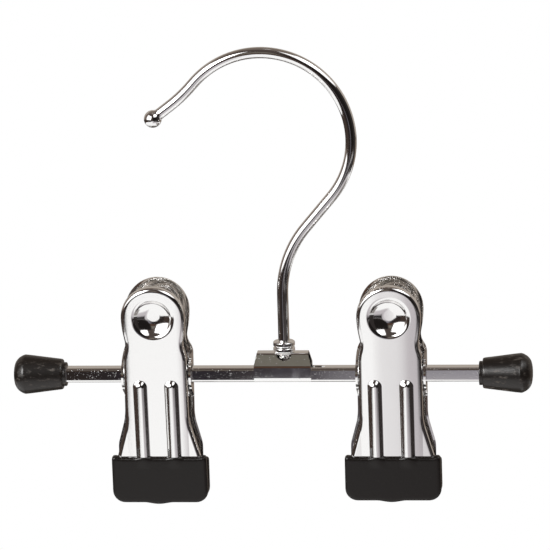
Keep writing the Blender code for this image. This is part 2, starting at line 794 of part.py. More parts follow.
def main():
    clear_scene()
    collection(PARTS)
    as_hidden = collection(CUTTERS)
    points, (crook_x, crook_z) = hook_wire()
    crown = crook_z + CROOK_RADIUS - WIRE_RADIUS
    stem = axis_empty("stem_axis", (-crook_x, 0, -crown))
    bar_middle = axis_empty("bar_middle", (-STEM_FROM_MIDDLE, 0, 0), stem)
    make_hook(points, stem)
    make_ring("hook_collar", WIRE_RADIUS + SWIVEL_GAP, COLLAR_BASE, COLLAR_HEIGHT, stem)
    make_ring("swivel_washer", SHANK_DIAMETER / 2 + SWIVEL_GAP, WASHER_BASE, WASHER_HEIGHT, stem)
    make_bar(bar_middle)
    make_bracket(stem)
    make_caps(bar_middle)
    jaw_meshes = {
        "front": plate_mesh("front_plate", FRONT_EAR_HALF_WIDTH),
        "back": plate_mesh("back_plate", BACK_EAR_HALF_WIDTH),
    }
    for side in CLIP_PLACES:
        make_clip(side, bar_middle, jaw_meshes)
    as_hidden.hide_render = True
    print(f"stem at x {stem.location.x / MM:.3f} mm, bar axis at z {stem.location.z / MM:.3f} mm")
    print(f"jaws tilted {math.degrees(JAW_TILT):.3f} degrees at rest")


main()
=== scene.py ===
# %% [markdown]
# # A clip hanger in chrome and black vinyl
#
# The hanger is a bent wire hook that swivels on a short square bar. Two spring clips slide along the
# bar, and each clip has two pressed jaws whose feet were dipped in liquid vinyl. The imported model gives
# the frame: where every part sits and how it moves. This lesson builds the fine surfaces over it.

# %% Load the frame
import json
import math

import bmesh
import bpy
from mathutils import Matrix, Vector


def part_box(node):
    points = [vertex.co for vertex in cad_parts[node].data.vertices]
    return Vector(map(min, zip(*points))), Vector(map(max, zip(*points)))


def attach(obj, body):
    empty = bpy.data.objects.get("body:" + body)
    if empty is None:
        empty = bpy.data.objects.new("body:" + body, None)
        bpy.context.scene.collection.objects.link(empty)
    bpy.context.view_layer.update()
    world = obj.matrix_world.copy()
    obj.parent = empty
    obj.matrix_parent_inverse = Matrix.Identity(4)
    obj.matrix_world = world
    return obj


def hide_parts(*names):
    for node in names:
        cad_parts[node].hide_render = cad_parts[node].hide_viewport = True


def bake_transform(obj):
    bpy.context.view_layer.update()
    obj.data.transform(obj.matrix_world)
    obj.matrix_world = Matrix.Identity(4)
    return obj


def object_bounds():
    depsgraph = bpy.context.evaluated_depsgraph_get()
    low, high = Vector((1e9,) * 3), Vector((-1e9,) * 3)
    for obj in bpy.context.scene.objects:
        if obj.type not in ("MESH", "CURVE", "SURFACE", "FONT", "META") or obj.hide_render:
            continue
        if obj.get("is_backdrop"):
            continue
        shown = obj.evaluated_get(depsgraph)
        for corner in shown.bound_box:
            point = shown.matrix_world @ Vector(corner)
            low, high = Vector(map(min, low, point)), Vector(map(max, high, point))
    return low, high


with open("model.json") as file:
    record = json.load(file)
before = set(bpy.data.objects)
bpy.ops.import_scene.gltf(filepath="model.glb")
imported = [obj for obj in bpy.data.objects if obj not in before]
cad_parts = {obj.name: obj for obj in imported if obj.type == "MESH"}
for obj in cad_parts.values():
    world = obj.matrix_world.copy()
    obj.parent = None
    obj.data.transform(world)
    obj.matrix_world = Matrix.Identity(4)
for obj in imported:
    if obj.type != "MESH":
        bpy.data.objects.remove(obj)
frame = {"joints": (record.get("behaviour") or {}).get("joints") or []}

cad_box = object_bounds()

# %% [markdown]
# ## Places
#
# All lengths are in millimetres times MM, because Blender counts in metres. The joints of the frame say
# where the hook's stem stands, how high the bar lies and where each clip sits, so no place is typed twice.

# %% Places from the frame
MM = 0.001
joints = {joint["name"]: joint for joint in frame["joints"]}
STEM_X, _, BAR_Z = joints["hook_swivel"]["pos_m"]
SIDES = {"left": -1, "right": 1}
CLIP_X = {side: joints[f"{side}_front_jaw_hinge"]["pos_m"][0] for side in SIDES}
left_end, right_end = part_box("left_end_cap")[0].x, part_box("right_end_cap")[1].x
HALF_LENGTH = (right_end - left_end) / 2
BAR_MIDDLE_X = right_end - HALF_LENGTH
print(f"stem at {STEM_X / MM:.2f} mm, bar at {BAR_Z / MM:.2f} mm, half length {HALF_LENGTH / MM:.2f} mm")

# %% [markdown]
# ## Helpers for colour and materials
#
# Hex colours are written as a screen shows them, and a shader wants linear light, so one function turns
# the first into the second. Two more set up one node with its settings and its links, which keeps a node
# tree readable from top to bottom. A link from a node means its first output.

# %% Colour and node helpers
def colour(hex_text):
    """An sRGB hex colour as linear red, green, blue and alpha."""
    parts = [int(hex_text[i:i + 2], 16) / 255 for i in (1, 3, 5)]
    linear = [p / 12.92 if p <= 0.04045 else ((p + 0.055) / 1.055) ** 2.4 for p in parts]
    return (*linear, 1.0)


def set_node(tree, node, links=None, **settings):
    """Sets up one shader node. Settings name its properties or its sockets, and links name its sockets."""
    for name, value in settings.items():
        if hasattr(node, name):
            setattr(node, name, value)
        else:
            node.inputs[name.replace("_", " ")].default_value = value
    for socket, source in (links or {}).items():
        output = source if isinstance(source, bpy.types.NodeSocket) else source.outputs[0]
        tree.links.new(output, node.inputs[socket])
    return node


def add_node(tree, kind, links=None, **settings):
    return set_node(tree, tree.nodes.new("ShaderNode" + kind), links, **settings)


def new_material(name):
    """A material with a bare Principled shader, and its node tree."""
    made = bpy.data.materials.new(name)
    made.use_nodes = True
    return made, made.node_tree, made.node_tree.nodes["Principled BSDF"]


print("white is", colour("#ffffff"), "and a screen's middle grey", round(colour("#808080")[0], 3))

# %% [markdown]
# ## Bright chrome
#
# The hook, the rings, the bar, the bracket and the jaws are mild steel with a bright nickel and chrome
# plate. Such a plate is a mirror, so nearly all its colour comes from what stands round it. Two things
# give it away as metal and not as glass: the steel under it is never quite flat, which bends the
# reflections, and its surface has a grain. The flatness is a slow bump, some millimetres across. The grain
# is a finer noise, stretched where rolls or a press drew it out, which dulls the mirror in places and
# raises a very low bump. On the bar and the bracket only its peaks stand proud, as pimples in the plate.
# They are drawn at a third of a millimetre, coarser than the real ones, or they wouldn't show.

# %% Chrome finishes
CHROME_TINT = "#f7f6f5"
DULL_WINDOW, DULLEST = (0.35, 0.75), 2.2


def chrome(name, wave, wave_height, grain, grain_height, roughness, stretch=(1, 1, 1), pimples=(0.0, 1.0),
           tint=CHROME_TINT):
    """Bright steel. Wave and grain are sizes across, their heights are how far the bumps reach, and
    pimples is the window of the grain that stands proud."""
    made, tree, shader = new_material(name)
    place = add_node(tree, "TexCoord").outputs["Object"]
    along = add_node(tree, "Mapping", {"Vector": place}, Scale=stretch)
    slow = add_node(tree, "TexNoise", {"Vector": place}, Scale=1 / wave, Detail=1.0)
    fine = add_node(tree, "TexNoise", {"Vector": along}, Scale=1 / grain, Detail=3.0)
    sheet = add_node(tree, "Bump", {"Height": slow}, Distance=wave_height)
    proud = add_node(tree, "MapRange", {"Value": fine}, From_Min=pimples[0], From_Max=pimples[1])
    bumps = add_node(tree, "Bump", {"Height": proud, "Normal": sheet}, Distance=grain_height)
    dull = add_node(tree, "MapRange", {"Value": fine}, From_Min=DULL_WINDOW[0], From_Max=DULL_WINDOW[1],
                    To_Min=roughness, To_Max=roughness * DULLEST)
    set_node(tree, shader, {"Roughness": dull, "Normal": bumps}, Base_Color=colour(tint), Metallic=1.0)
    return made


wire_chrome = chrome("bright_chrome_on_drawn_wire", wave=9 * MM, wave_height=0.02 * MM, grain=0.5 * MM,
                     grain_height=0.002 * MM, roughness=0.05)
jaw_chrome = {side: chrome(f"bright_chrome_on_{side}_pressed_sheet", wave=14 * MM, wave_height=0.02 * MM,
                           grain=0.6 * MM, grain_height=0.0015 * MM, roughness=0.06, stretch=(1, 1, 3))
              for side in SIDES}
bar_chrome = chrome("bright_chrome_on_rolled_bar", wave=12 * MM, wave_height=0.01 * MM, grain=0.35 * MM,
                    grain_height=0.022 * MM, roughness=0.045, stretch=(0.8, 1, 1), pimples=(0.66, 0.8))
bracket_chrome = chrome("bright_chrome_on_folded_sheet", wave=6 * MM, wave_height=0.05 * MM, grain=0.35 * MM,
                        grain_height=0.016 * MM, roughness=0.05, pimples=(0.67, 0.82))
print("chrome finishes:", wire_chrome.name, bar_chrome.name, bracket_chrome.name, "and two for the jaws")

# %% [markdown]
# ### The jaws' faces spring back
#
# A pressed plate springs back a little towards its sides, so its face is flat in the middle and falls away
# by about a quarter of a millimetre at each side. The reflections show it as a soft shade along the edges.
# It could be crowned in the mesh, but a crowned face ripples round the dish and the ribs. A bump whose
# height falls with the cube of the distance from the middle draws it without a ripple.

# %% Spring back of the jaws
FLAT_HALF, SIDE_RUN, SIDE_FALL, FALL_POWER = 1.5 * MM, 8.1 * MM, 0.28 * MM, 3


def sprung_back(finish, middle):
    """Lets the light fall away at both sides of the middle, before the finish's own bumps."""
    tree = finish.node_tree
    first = next(node for node in tree.nodes if node.type == "BUMP" and not node.inputs["Normal"].is_linked)
    place = add_node(tree, "TexCoord").outputs["Object"]
    centred = add_node(tree, "Mapping", {"Vector": place}, Location=(-middle, 0, 0))
    across = add_node(tree, "SeparateXYZ", {"Vector": centred}).outputs["X"]
    away = add_node(tree, "Math", {0: across}, operation="ABSOLUTE")
    share = add_node(tree, "MapRange", {"Value": away}, From_Min=FLAT_HALF, From_Max=FLAT_HALF + SIDE_RUN)
    fall = add_node(tree, "Math", {0: share}, operation="POWER")
    fall.inputs[1].default_value = FALL_POWER
    bump = add_node(tree, "Bump", {"Height": fall}, invert=True, Distance=SIDE_FALL)
    set_node(tree, first, {"Normal": bump})


for side, finish in jaw_chrome.items():
    sprung_back(finish, CLIP_X[side])
print(f"the faces are flat for {2 * FLAT_HALF / MM:.0f} mm and fall by {SIDE_FALL / MM:.2f} mm beside it")

# %% [markdown]
# ## Black vinyl
#
# The tips are dipped: the jaw goes into liquid PVC and comes out with a skin that levels itself, satin
# black with a brown cast. The end caps are moulded from a softer, greyer PVC that scuffs. Both are
# dielectrics with an IOR near 1.53. The dip has a fine orange peel and a few dust specks. The caps have
# longer pale scuffs, which a stretched noise with a narrow window draws. Only sizes and colours differ, so
# one function makes both.

# %% Vinyl finishes
VINYL_IOR, VINYL_ROUGHNESS, RUBBED_ROUGHNESS, PEEL_HEIGHT = 1.53, 0.3, 0.5, 0.02 * MM


def vinyl(name, base, pale, gloss, peel, scuff, scuff_window, scuff_stretch=(1, 1, 1)):
    """PVC with an orange peel, and scuffs that are paler and duller than the skin."""
    made, tree, shader = new_material(name)
    place = add_node(tree, "TexCoord").outputs["Object"]
    along = add_node(tree, "Mapping", {"Vector": place}, Scale=scuff_stretch)
    skin = add_node(tree, "TexNoise", {"Vector": place}, Scale=1 / peel, Detail=2.0)
    rubbed = add_node(tree, "TexNoise", {"Vector": along}, Scale=1 / scuff, Detail=6.0, Roughness=0.65)
    mask = add_node(tree, "MapRange", {"Value": rubbed}, From_Min=scuff_window[0],
                    From_Max=scuff_window[1], interpolation_type="SMOOTHSTEP")
    mixed = add_node(tree, "Mix", {"Factor": mask}, data_type="RGBA", A=colour(base), B=colour(pale))
    dull = add_node(tree, "MapRange", {"Value": mask}, To_Min=VINYL_ROUGHNESS, To_Max=RUBBED_ROUGHNESS)
    bump = add_node(tree, "Bump", {"Height": skin}, Distance=PEEL_HEIGHT)
    set_node(tree, shader, {"Base Color": mixed.outputs["Result"], "Roughness": dull, "Normal": bump},
             IOR=VINYL_IOR, Specular_IOR_Level=gloss)
    return made


dip_vinyl = vinyl("black_dipped_pvc", "#1d1612", "#3d3531", gloss=0.31, peel=1.2 * MM, scuff=0.9 * MM,
                  scuff_window=(0.64, 0.8))
cap_vinyl = vinyl("black_moulded_pvc", "#251d18", "#6f655c", gloss=0.45, peel=0.8 * MM, scuff=1.2 * MM,
                  scuff_window=(0.53, 0.7), scuff_stretch=(0.4, 1, 1))
print("vinyl finishes:", dip_vinyl.name, cap_vinyl.name)

# %% [markdown]
# ## Spring steel
#
# The leaf spring is plain hardened strip, not plated. It is grey and satin, with the long fine lines of
# the rolls, which the chrome's grain gives when it is stretched ten times along the strip.

# %% Spring finish
spring_steel = chrome("plain_rolled_spring_steel", wave=8 * MM, wave_height=0.01 * MM, grain=0.3 * MM,
                      grain_height=0.01 * MM, roughness=0.28, stretch=(1, 0.1, 0.1), tint="#9d9a96")
print("spring finish:", spring_steel.name)

# %% [markdown]
# ## Helpers for shapes
#
# Turned and bent things are swept: the spin operator takes vertices and edges round an axis. Each piece
# then gets its doubles merged, its normals turned outwards and its sharp edges marked, and rides on its
# body in the place of the plain part that it stands for. A helper does each of these steps, because every
# piece needs them, and those that only some pieces need come with the first of them.

# %% Shape helpers
WELD = 0.002 * MM
Vert, Edge = bmesh.types.BMVert, bmesh.types.BMEdge


def only(kind, geom):
    """The vertices, or the edges, of what an operator took or made."""
    return [item for item in geom if isinstance(item, kind)]


def spun(bm, geom, centre, axis, steps, degrees=360):
    """Spins vertices and edges round an axis, closing a full turn, and returns the edges where they end."""
    last = bmesh.ops.spin(bm, geom=geom, cent=centre, axis=axis, angle=math.radians(degrees), steps=steps,
                          use_merge=degrees == 360, use_duplicate=False)["geom_last"]
    return only(Edge, last)


def pull(bm, edges, way=(0, 0, 0)):
    """Extrudes edges along a vector, and returns the vertices and the edges where they end."""
    made = bmesh.ops.extrude_edge_only(bm, edges=edges)["geom"]
    verts = only(Vert, made)
    bmesh.ops.translate(bm, verts=verts, vec=way)
    ends = set(verts)
    return verts, [edge for edge in only(Edge, made) if ends.issuperset(edge.verts)]


def with_ends(edges):
    """Edges and their vertices."""
    return edges + list({v for e in edges for v in e.verts})


def new_piece(name, bm, finish, outward=True):
    """Turns a bmesh into an object with one finish."""
    bmesh.ops.remove_doubles(bm, verts=bm.verts, dist=WELD)
    if outward:
        bmesh.ops.recalc_face_normals(bm, faces=bm.faces)
    mesh = bpy.data.meshes.new(name)
    bm.to_mesh(mesh)
    bm.free()
    mesh.materials.append(finish)
    piece = bpy.data.objects.new(name, mesh)
    bpy.context.scene.collection.objects.link(piece)
    return piece


def smooth(piece, angle):
    """Smooth shading that keeps the edges past an angle sharp."""
    piece.data.shade_smooth()
    piece.data.set_sharp_from_angle(angle=math.radians(angle))


def report(piece):
    size = piece.dimensions / MM
    print(f"{piece.name}: {len(piece.data.polygons)} faces, {size.x:.1f} x {size.y:.1f} x {size.z:.1f} mm")


def seat(piece, body, node):
    """Makes a piece move with its body and stand in for the plain part, and reports it."""
    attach(piece, body)
    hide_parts(node)
    report(piece)


print(f"vertices closer than {WELD / MM:.3f} mm are merged")

# %% [markdown]
# ## The hook
#
# The hook is one length of 3.5 mm wire. Its foot is turned down to pass through the bracket and peened to a
# button inside it, so that the hook can turn but not fall out. The wire could be a curve with a bevel. A
# ring of edges that is extruded along the straights and spun round each bend's centre follows the maker's
# own steps instead, and every bend keeps its true radius.

# %% Hook sizes
WIRE_RADIUS, WIRE_SEGMENTS = 1.75 * MM, 40
FOOT_BASE, FOOT_HEIGHT, COLLAR_BASE = 4.65 * MM, 1.6 * MM, 8.95 * MM
STEP_UP, STEM_RUN = 0.02 * MM, 16.6 * MM
# The button under the shank: heights over its base and radii, in millimetres.
BUTTON = [(0.0, 0.02), (0.06, 0.62), (0.2, 1.1), (0.45, 1.42), (0.8, 1.55), (1.25, 1.5), (1.5, 1.2),
          (1.6, 0.9)]
# Each bend: the radius of the wire's middle, the turn in degrees, and the straight run up to the next.
BENDS = [(32.5 * MM, -40.4, 12.6 * MM), (27.5 * MM, 179.5, 0.0), (47.0 * MM, -12.2, 6.8 * MM)]
DEGREES_A_STEP = 3
# The ball at the wire's end, and the short runs by which the wire swells into it.
BALL_RADIUS, BALL_STEP, BALL_END = 2.75 * MM, math.radians(6), math.radians(88)
SWELL = [(0.9 * MM, 1.01), (0.3 * MM, 1.06)]
crook_inside = 2 * (BENDS[1][0] - WIRE_RADIUS)
print(f"{2 * WIRE_RADIUS / MM:.1f} mm wire, the crook {crook_inside / MM:.1f} mm across inside")


# %% The wire's open end
class WireEnd:
    """The open end of the wire: a ring of edges, its middle and its heading in the XZ plane."""

    def __init__(self, bm, middle, heading, radius):
        self.bm, self.middle, self.heading, self.radius = bm, Vector(middle), heading, radius
        disc = bmesh.ops.create_circle(bm, cap_ends=True, segments=WIRE_SEGMENTS, radius=radius,
                                       matrix=Matrix.Translation(middle))
        self.ring = list({edge for vert in disc["verts"] for edge in vert.link_edges})

    def forward(self):
        return Vector((math.cos(self.heading), 0, math.sin(self.heading)))

    def run(self, length, radius=None):
        """Extrudes the ring straight on, to a new radius if one is given."""
        verts, self.ring = pull(self.bm, self.ring, self.forward() * length)
        self.middle += self.forward() * length
        if radius:
            share = radius / self.radius
            bmesh.ops.scale(self.bm, verts=verts, vec=(share,) * 3, space=Matrix.Translation(-self.middle))
            self.radius = radius

    def bend(self, bend_radius, degrees):
        """Spins the ring round the bend's centre, left for a positive angle."""
        side = math.copysign(bend_radius, degrees)
        left = Vector((-math.sin(self.heading), 0, math.cos(self.heading)))
        centre = self.middle + left * side
        steps = math.ceil(abs(degrees) / DEGREES_A_STEP)
        self.ring = spun(self.bm, with_ends(self.ring), centre, (0, -1, 0), steps, degrees)
        turn = math.radians(degrees)
        self.middle = centre + Matrix.Rotation(turn, 3, (0, -1, 0)) @ (self.middle - centre)
        self.heading += turn


print("the wire starts as a ring of", WIRE_SEGMENTS, "edges")

# %% Bend the wire
bm = bmesh.new()
base, base_radius = BUTTON[0]
wire = WireEnd(bm, (STEM_X, 0, BAR_Z + FOOT_BASE + base * MM), math.pi / 2, base_radius * MM)
for (low, _), (high, radius) in zip(BUTTON, BUTTON[1:]):
    wire.run((high - low) * MM, radius * MM)
wire.run(COLLAR_BASE - FOOT_BASE - FOOT_HEIGHT)
wire.run(STEP_UP, WIRE_RADIUS)
wire.run(STEM_RUN - STEP_UP)
*bends, (last_radius, last_turn, last_run) = BENDS
for bend_radius, degrees, straight in bends:
    wire.bend(bend_radius, degrees)
    if straight:
        wire.run(straight)
wire.bend(last_radius, last_turn)
neck = math.acos(WIRE_RADIUS / BALL_RADIUS)
wire.run(last_run - BALL_RADIUS * math.sin(neck) - sum(length for length, _ in SWELL))
for length, swell in SWELL:
    wire.run(length, WIRE_RADIUS * swell)
turned, here = BALL_STEP - neck, -math.sin(neck)
while turned < BALL_END:
    wire.run(BALL_RADIUS * (math.sin(turned) - here), BALL_RADIUS * math.cos(turned))
    here = math.sin(turned)
    turned += BALL_STEP
bmesh.ops.edgeloop_fill(bm, edges=wire.ring)
hook = new_piece("chromed_wire_hook", bm, wire_chrome)
smooth(hook, 50)
seat(hook, "hook", "hook")

# %% [markdown]
# ## The two rings
#
# Above the bracket sit a pressed-on collar, which takes the load when the hook is pushed down, and a loose
# washer. Both are turned on a lathe, so a short chain of vertices is spun all the way round and its edges
# are bevelled. A cylinder with a hole would do, but its side couldn't be a little hollow, as theirs are.

# %% Collar and washer
RING_RADIUS, RING_BEVEL, RING_STEPS = 3.4 * MM, 0.12 * MM, 72
# Shares of a ring's radius and height, from its lower rim up over a slightly hollow side.
RING_SIDE = [(0.93, 0.0), (1.0, 0.2), (0.985, 0.5), (1.0, 0.8), (0.9, 1.0)]
RINGS = {
    # name: body, plain part, bore radius, base over the bar's middle, height
    "pressed_collar": ("hook", "hook_collar", WIRE_RADIUS, COLLAR_BASE, 1.6 * MM),
    "swivel_washer_ring": ("crossbar", "swivel_washer", 0.95 * MM, 7.25 * MM, 1.5 * MM),
}


def chain(bm, points):
    """A chain of vertices joined by edges."""
    verts = [bm.verts.new(point) for point in points]
    edges = [bm.edges.new(pair) for pair in zip(verts, verts[1:])]
    return verts + edges


def sharp_edges(bm, angle):
    """Edges whose two faces meet at more than this angle, in degrees."""
    return [e for e in bm.edges if len(e.link_faces) == 2 and e.calc_face_angle(0) > math.radians(angle)]


def bevel_edges(bm, edges, width, segments):
    bmesh.ops.bevel(bm, geom=edges, offset=width, segments=segments, profile=0.5, affect="EDGES",
                    clamp_overlap=True, material=-1)


def turned_ring(name, body, node, bore, base, height):
    bm = bmesh.new()
    side = [(RING_RADIUS * radius, height * share) for radius, share in RING_SIDE]
    profile = [(bore, 0), *side, (bore, height), (bore, 0)]
    geom = chain(bm, [(STEM_X + radius, 0, BAR_Z + base + z) for radius, z in profile])
    spun(bm, geom, (STEM_X, 0, 0), (0, 0, 1), RING_STEPS)
    bmesh.ops.remove_doubles(bm, verts=bm.verts, dist=WELD)
    bevel_edges(bm, sharp_edges(bm, 25), RING_BEVEL, 3)
    ring = new_piece(name, bm, bracket_chrome)
    smooth(ring, 50)
    seat(ring, body, node)


for name, facts in RINGS.items():
    turned_ring(name, *facts)

# %% [markdown]
# ## The bar
#
# The bar is square tube rolled from strip, with soft corners. A bevel that is typed along four long edges
# of a scaled cube gives them one true radius, which an extruded outline would only come near. A small
# flattened bead of weld beside the bracket is a squashed sphere in the same mesh.

# %% Bar with its weld bead
BAR_SIDE, BAR_CORNER, BAR_INSIDE_CAP = 4.6 * MM, 0.9 * MM, 3.3 * MM
BEAD_SIZE = (2.4 * MM, 0.55 * MM, 0.42 * MM)
BEAD_PLACE = (BAR_MIDDLE_X + 14.2 * MM, -0.2 * MM, BAR_Z + BAR_SIDE / 2)


def settle(piece):
    """Applies the piece's modifiers, so that its mesh is final."""
    graph = bpy.context.evaluated_depsgraph_get()
    shaped = piece.evaluated_get(graph)
    mesh = bpy.data.meshes.new_from_object(shaped, preserve_all_data_layers=True, depsgraph=graph)
    piece.modifiers.clear()
    piece.data = mesh


def even_shading(piece):
    """Lets the large flat faces rule the shading, so that they stay flat up to their bent edges."""
    piece.modifiers.new("even", "WEIGHTED_NORMAL").keep_sharp = True
    settle(piece)


bm = bmesh.new()
bar_size = (2 * (HALF_LENGTH - BAR_INSIDE_CAP), BAR_SIDE, BAR_SIDE)
bmesh.ops.create_cube(bm, size=1, matrix=Matrix.Translation((BAR_MIDDLE_X, 0, BAR_Z))
                      @ Matrix.Diagonal((*bar_size, 1)))
long_edges = [e for e in bm.edges if abs(e.verts[0].co.x - e.verts[1].co.x) > BAR_SIDE]
bevel_edges(bm, long_edges, BAR_CORNER, 8)
bmesh.ops.create_uvsphere(bm, u_segments=32, v_segments=16, radius=1,
                          matrix=Matrix.Translation(BEAD_PLACE) @ Matrix.Diagonal((*BEAD_SIZE, 1)))
bar = new_piece("square_bar", bm, bar_chrome)
smooth(bar, 50)
even_shading(bar)
seat(bar, "crossbar", "bar")

# %% [markdown]
# ## The centre bracket
#
# The bracket is a saddle of 0.5 mm sheet: up one side of the bar, leaning in above it, over a flat top and
# down again. It could be a block with its inside cut away, but folding keeps the sheet equally thick. Its
# section is one chain of vertices, extruded along the bar. Bevelled fold edges make the bends, bisecting
# planes lean the ends, and a modifier gives the sheet its thickness.

# %% Fold the bracket
BRACKET_X = STEM_X - 0.5 * MM
BRACKET_HALF_WIDTH, BRACKET_HALF_DEPTH, TOP_HALF_DEPTH = 8.9 * MM, 3.1 * MM, 2.05 * MM
TOP_HEIGHT, SHOULDER, SKIRT_FOOT = 7.05 * MM, 2.75 * MM, 1.85 * MM
SKIRT_TURN = (0.3 * MM, 0.65 * MM)
END_LEAN = 0.95 * MM
BRACKET_SHEET, FOLD_REACH = 0.5 * MM, 0.55 * MM


def cut_off(bm, point, outward):
    """Cuts off all that lies outside a plane, and returns the cut."""
    return bmesh.ops.bisect_plane(bm, geom=bm.verts[:] + bm.edges[:] + bm.faces[:], dist=WELD, plane_co=point,
                                  plane_no=outward, clear_outer=True)["geom_cut"]


def thicken(piece, thickness, offset=-1):
    """Gives a bare surface the thickness of its sheet, inwards unless told otherwise."""
    sheet = piece.modifiers.new("sheet", "SOLIDIFY")
    sheet.thickness, sheet.offset, sheet.use_even_offset = thickness, offset, True


bm = bmesh.new()
half_section = [(BRACKET_HALF_DEPTH - SKIRT_TURN[0], -SKIRT_FOOT),
                (BRACKET_HALF_DEPTH, SKIRT_TURN[1] - SKIRT_FOOT),
                (BRACKET_HALF_DEPTH, SHOULDER), (TOP_HALF_DEPTH, TOP_HEIGHT)]
section = [(-y, z) for y, z in half_section] + half_section[::-1]
geom = chain(bm, [(BRACKET_X - BRACKET_HALF_WIDTH, y, BAR_Z + z) for y, z in section])
pull(bm, only(Edge, geom), (2 * BRACKET_HALF_WIDTH, 0, 0))
bevel_edges(bm, sharp_edges(bm, 5), FOLD_REACH, 6)
for side in SIDES.values():
    corner = (BRACKET_X + side * BRACKET_HALF_WIDTH, 0, BAR_Z + SHOULDER)
    lean = Vector((side * (TOP_HEIGHT - SHOULDER), 0, END_LEAN))
    cut_off(bm, corner, lean)
bmesh.ops.recalc_face_normals(bm, faces=bm.faces)
if max(bm.faces, key=lambda face: face.calc_center_median().z).normal.z < 0:
    bmesh.ops.reverse_faces(bm, faces=bm.faces)
bracket = new_piece("folded_saddle_bracket", bm, bracket_chrome, outward=False)
thicken(bracket, BRACKET_SHEET)
settle(bracket)
print(f"the bracket is {bracket.dimensions.x / MM:.1f} mm long at its foot")

# %% [markdown]
# ### The notch and the hole
#
# A half-round notch in the front shows the hook's button, and a hole in the top lets its shank through. A
# press punches both from the flat sheet. Here the sheet is folded already, so round cutters take them out.

# %% Notch, hole and edges of the bracket
NOTCH_RADIUS, NOTCH_DEPTH, SHANK_HOLE = 2.3 * MM, 1.9 * MM, 1.15 * MM
BRACKET_RIM = 0.09 * MM


def rod(radius, length, segments, place):
    """A round cutter."""
    bm = bmesh.new()
    bmesh.ops.create_cone(bm, cap_ends=True, segments=segments, radius1=radius, radius2=radius, depth=length,
                          matrix=place)
    return bm


def carve(piece, cutter_mesh):
    """Cuts a closed bmesh out of a piece."""
    cutter = new_piece("cutter", cutter_mesh, piece.data.materials[0])
    cut = piece.modifiers.new("cut", "BOOLEAN")
    cut.object, cut.solver = cutter, "EXACT"
    settle(piece)
    bpy.data.objects.remove(cutter)


def soften(piece, width, angle):
    """Rounds the edges that are sharper than an angle in degrees, as wear and plating do."""
    rim = piece.modifiers.new("rim", "BEVEL")
    rim.width, rim.segments, rim.limit_method, rim.angle_limit = width, 2, "ANGLE", math.radians(angle)
    return rim


notch_top = BAR_Z + TOP_HEIGHT - BRACKET_SHEET
flatten = Matrix.Diagonal((1, 1, NOTCH_DEPTH / NOTCH_RADIUS, 1))
notch = rod(NOTCH_RADIUS, BRACKET_HALF_DEPTH, 48, Matrix.Translation((STEM_X, -BRACKET_HALF_DEPTH, notch_top))
            @ flatten @ Matrix.Rotation(math.pi / 2, 4, "X"))
cut = cut_off(notch, (STEM_X, 0, notch_top), (0, 0, 1))
bmesh.ops.edgeloop_fill(notch, edges=only(Edge, cut))
carve(bracket, notch)
carve(bracket, rod(SHANK_HOLE, 3 * MM, 40, Matrix.Translation((STEM_X, 0, BAR_Z + TOP_HEIGHT))))
smooth(bracket, 40)
soften(bracket, BRACKET_RIM, 50).harden_normals = True
settle(bracket)
seat(bracket, "crossbar", "centre_bracket")

# %% [markdown]
# ## The end caps
#
# Each cap is moulded soft PVC pushed over the bar's end: a cone that swells to a shoulder, a domed end and
# a thin lip at the mouth. It could be a cylinder scaled ring by ring. One flowing profile spun round the
# bar's axis gives the same form from a few points, and its small swelling near the end is the shoulder.

# %% Spin the caps
CAP_PROFILE = [
    # radius and distance from the cap's end, in millimetres
    (0.0, 0.0), (1.9, 0.08), (3.75, 0.5), (5.1, 1.45), (5.9, 2.7), (6.12, 3.3), (6.18, 3.7), (6.12, 4.2),
    (5.98, 5.6), (5.66, 8.1), (5.3, 10.9), (4.88, 14.3), (4.74, 15.1), (4.5, 15.42), (4.0, 15.5),
    (3.78, 15.52), (3.74, 15.7), (3.74, 16.4), (3.6, 16.58), (3.2, 16.6), (2.2, 16.6),
]
CAP_STEPS = 96


def flowing(points, steps=4):
    """A smooth run of points through a few given ones. Each span leaves and enters its two points
    parallel to the line between their neighbours."""
    padded = [points[0]] + list(points) + [points[-1]]
    made = []
    for a, b, c, d in zip(padded, padded[1:], padded[2:], padded[3:]):
        for t in (step / steps for step in range(steps)):
            made.append(tuple(0.5 * (2 * q + (r - p) * t + (2 * p - 5 * q + 4 * r - s) * t * t
                                     + (3 * q - p - 3 * r + s) * t ** 3) for p, q, r, s in zip(a, b, c, d)))
    return made + [tuple(points[-1])]


def end_cap(side, outward):
    bm = bmesh.new()
    end_x = BAR_MIDDLE_X + outward * HALF_LENGTH
    points = [(end_x - outward * along * MM, 0, BAR_Z + max(radius, 0) * MM)
              for radius, along in flowing(CAP_PROFILE)]
    spun(bm, chain(bm, points), (0, 0, BAR_Z), (1, 0, 0), CAP_STEPS)
    bmesh.ops.remove_doubles(bm, verts=bm.verts, dist=WELD)
    bmesh.ops.holes_fill(bm, edges=[e for e in bm.edges if e.is_boundary])
    cap = new_piece(f"{side}_vinyl_end_cap", bm, cap_vinyl)
    smooth(cap, 50)
    seat(cap, "crossbar", f"{side}_end_cap")


for side, outward in SIDES.items():
    end_cap(side, outward)

# %% [markdown]
# ## The jaw plates
#
# A jaw starts as a blank of 0.7 mm sheet. The press turns its edge back all round, sinks a dish for the
# thumb and raises two ribs. It could be a box cut to shape, but then no wall would be of one thickness.
# Here it is one surface with three kinds of hollow: the edge, the dish and the ribs are made as open
# forms, a fill joins their borders with flat metal, and a modifier makes sheet of it.
#
# The blank is a face with bevelled corners. Its border is extruded back, and insets that each go a little
# further forward bend it round. A ring of flat metal inside the bend keeps the face's shading flat.

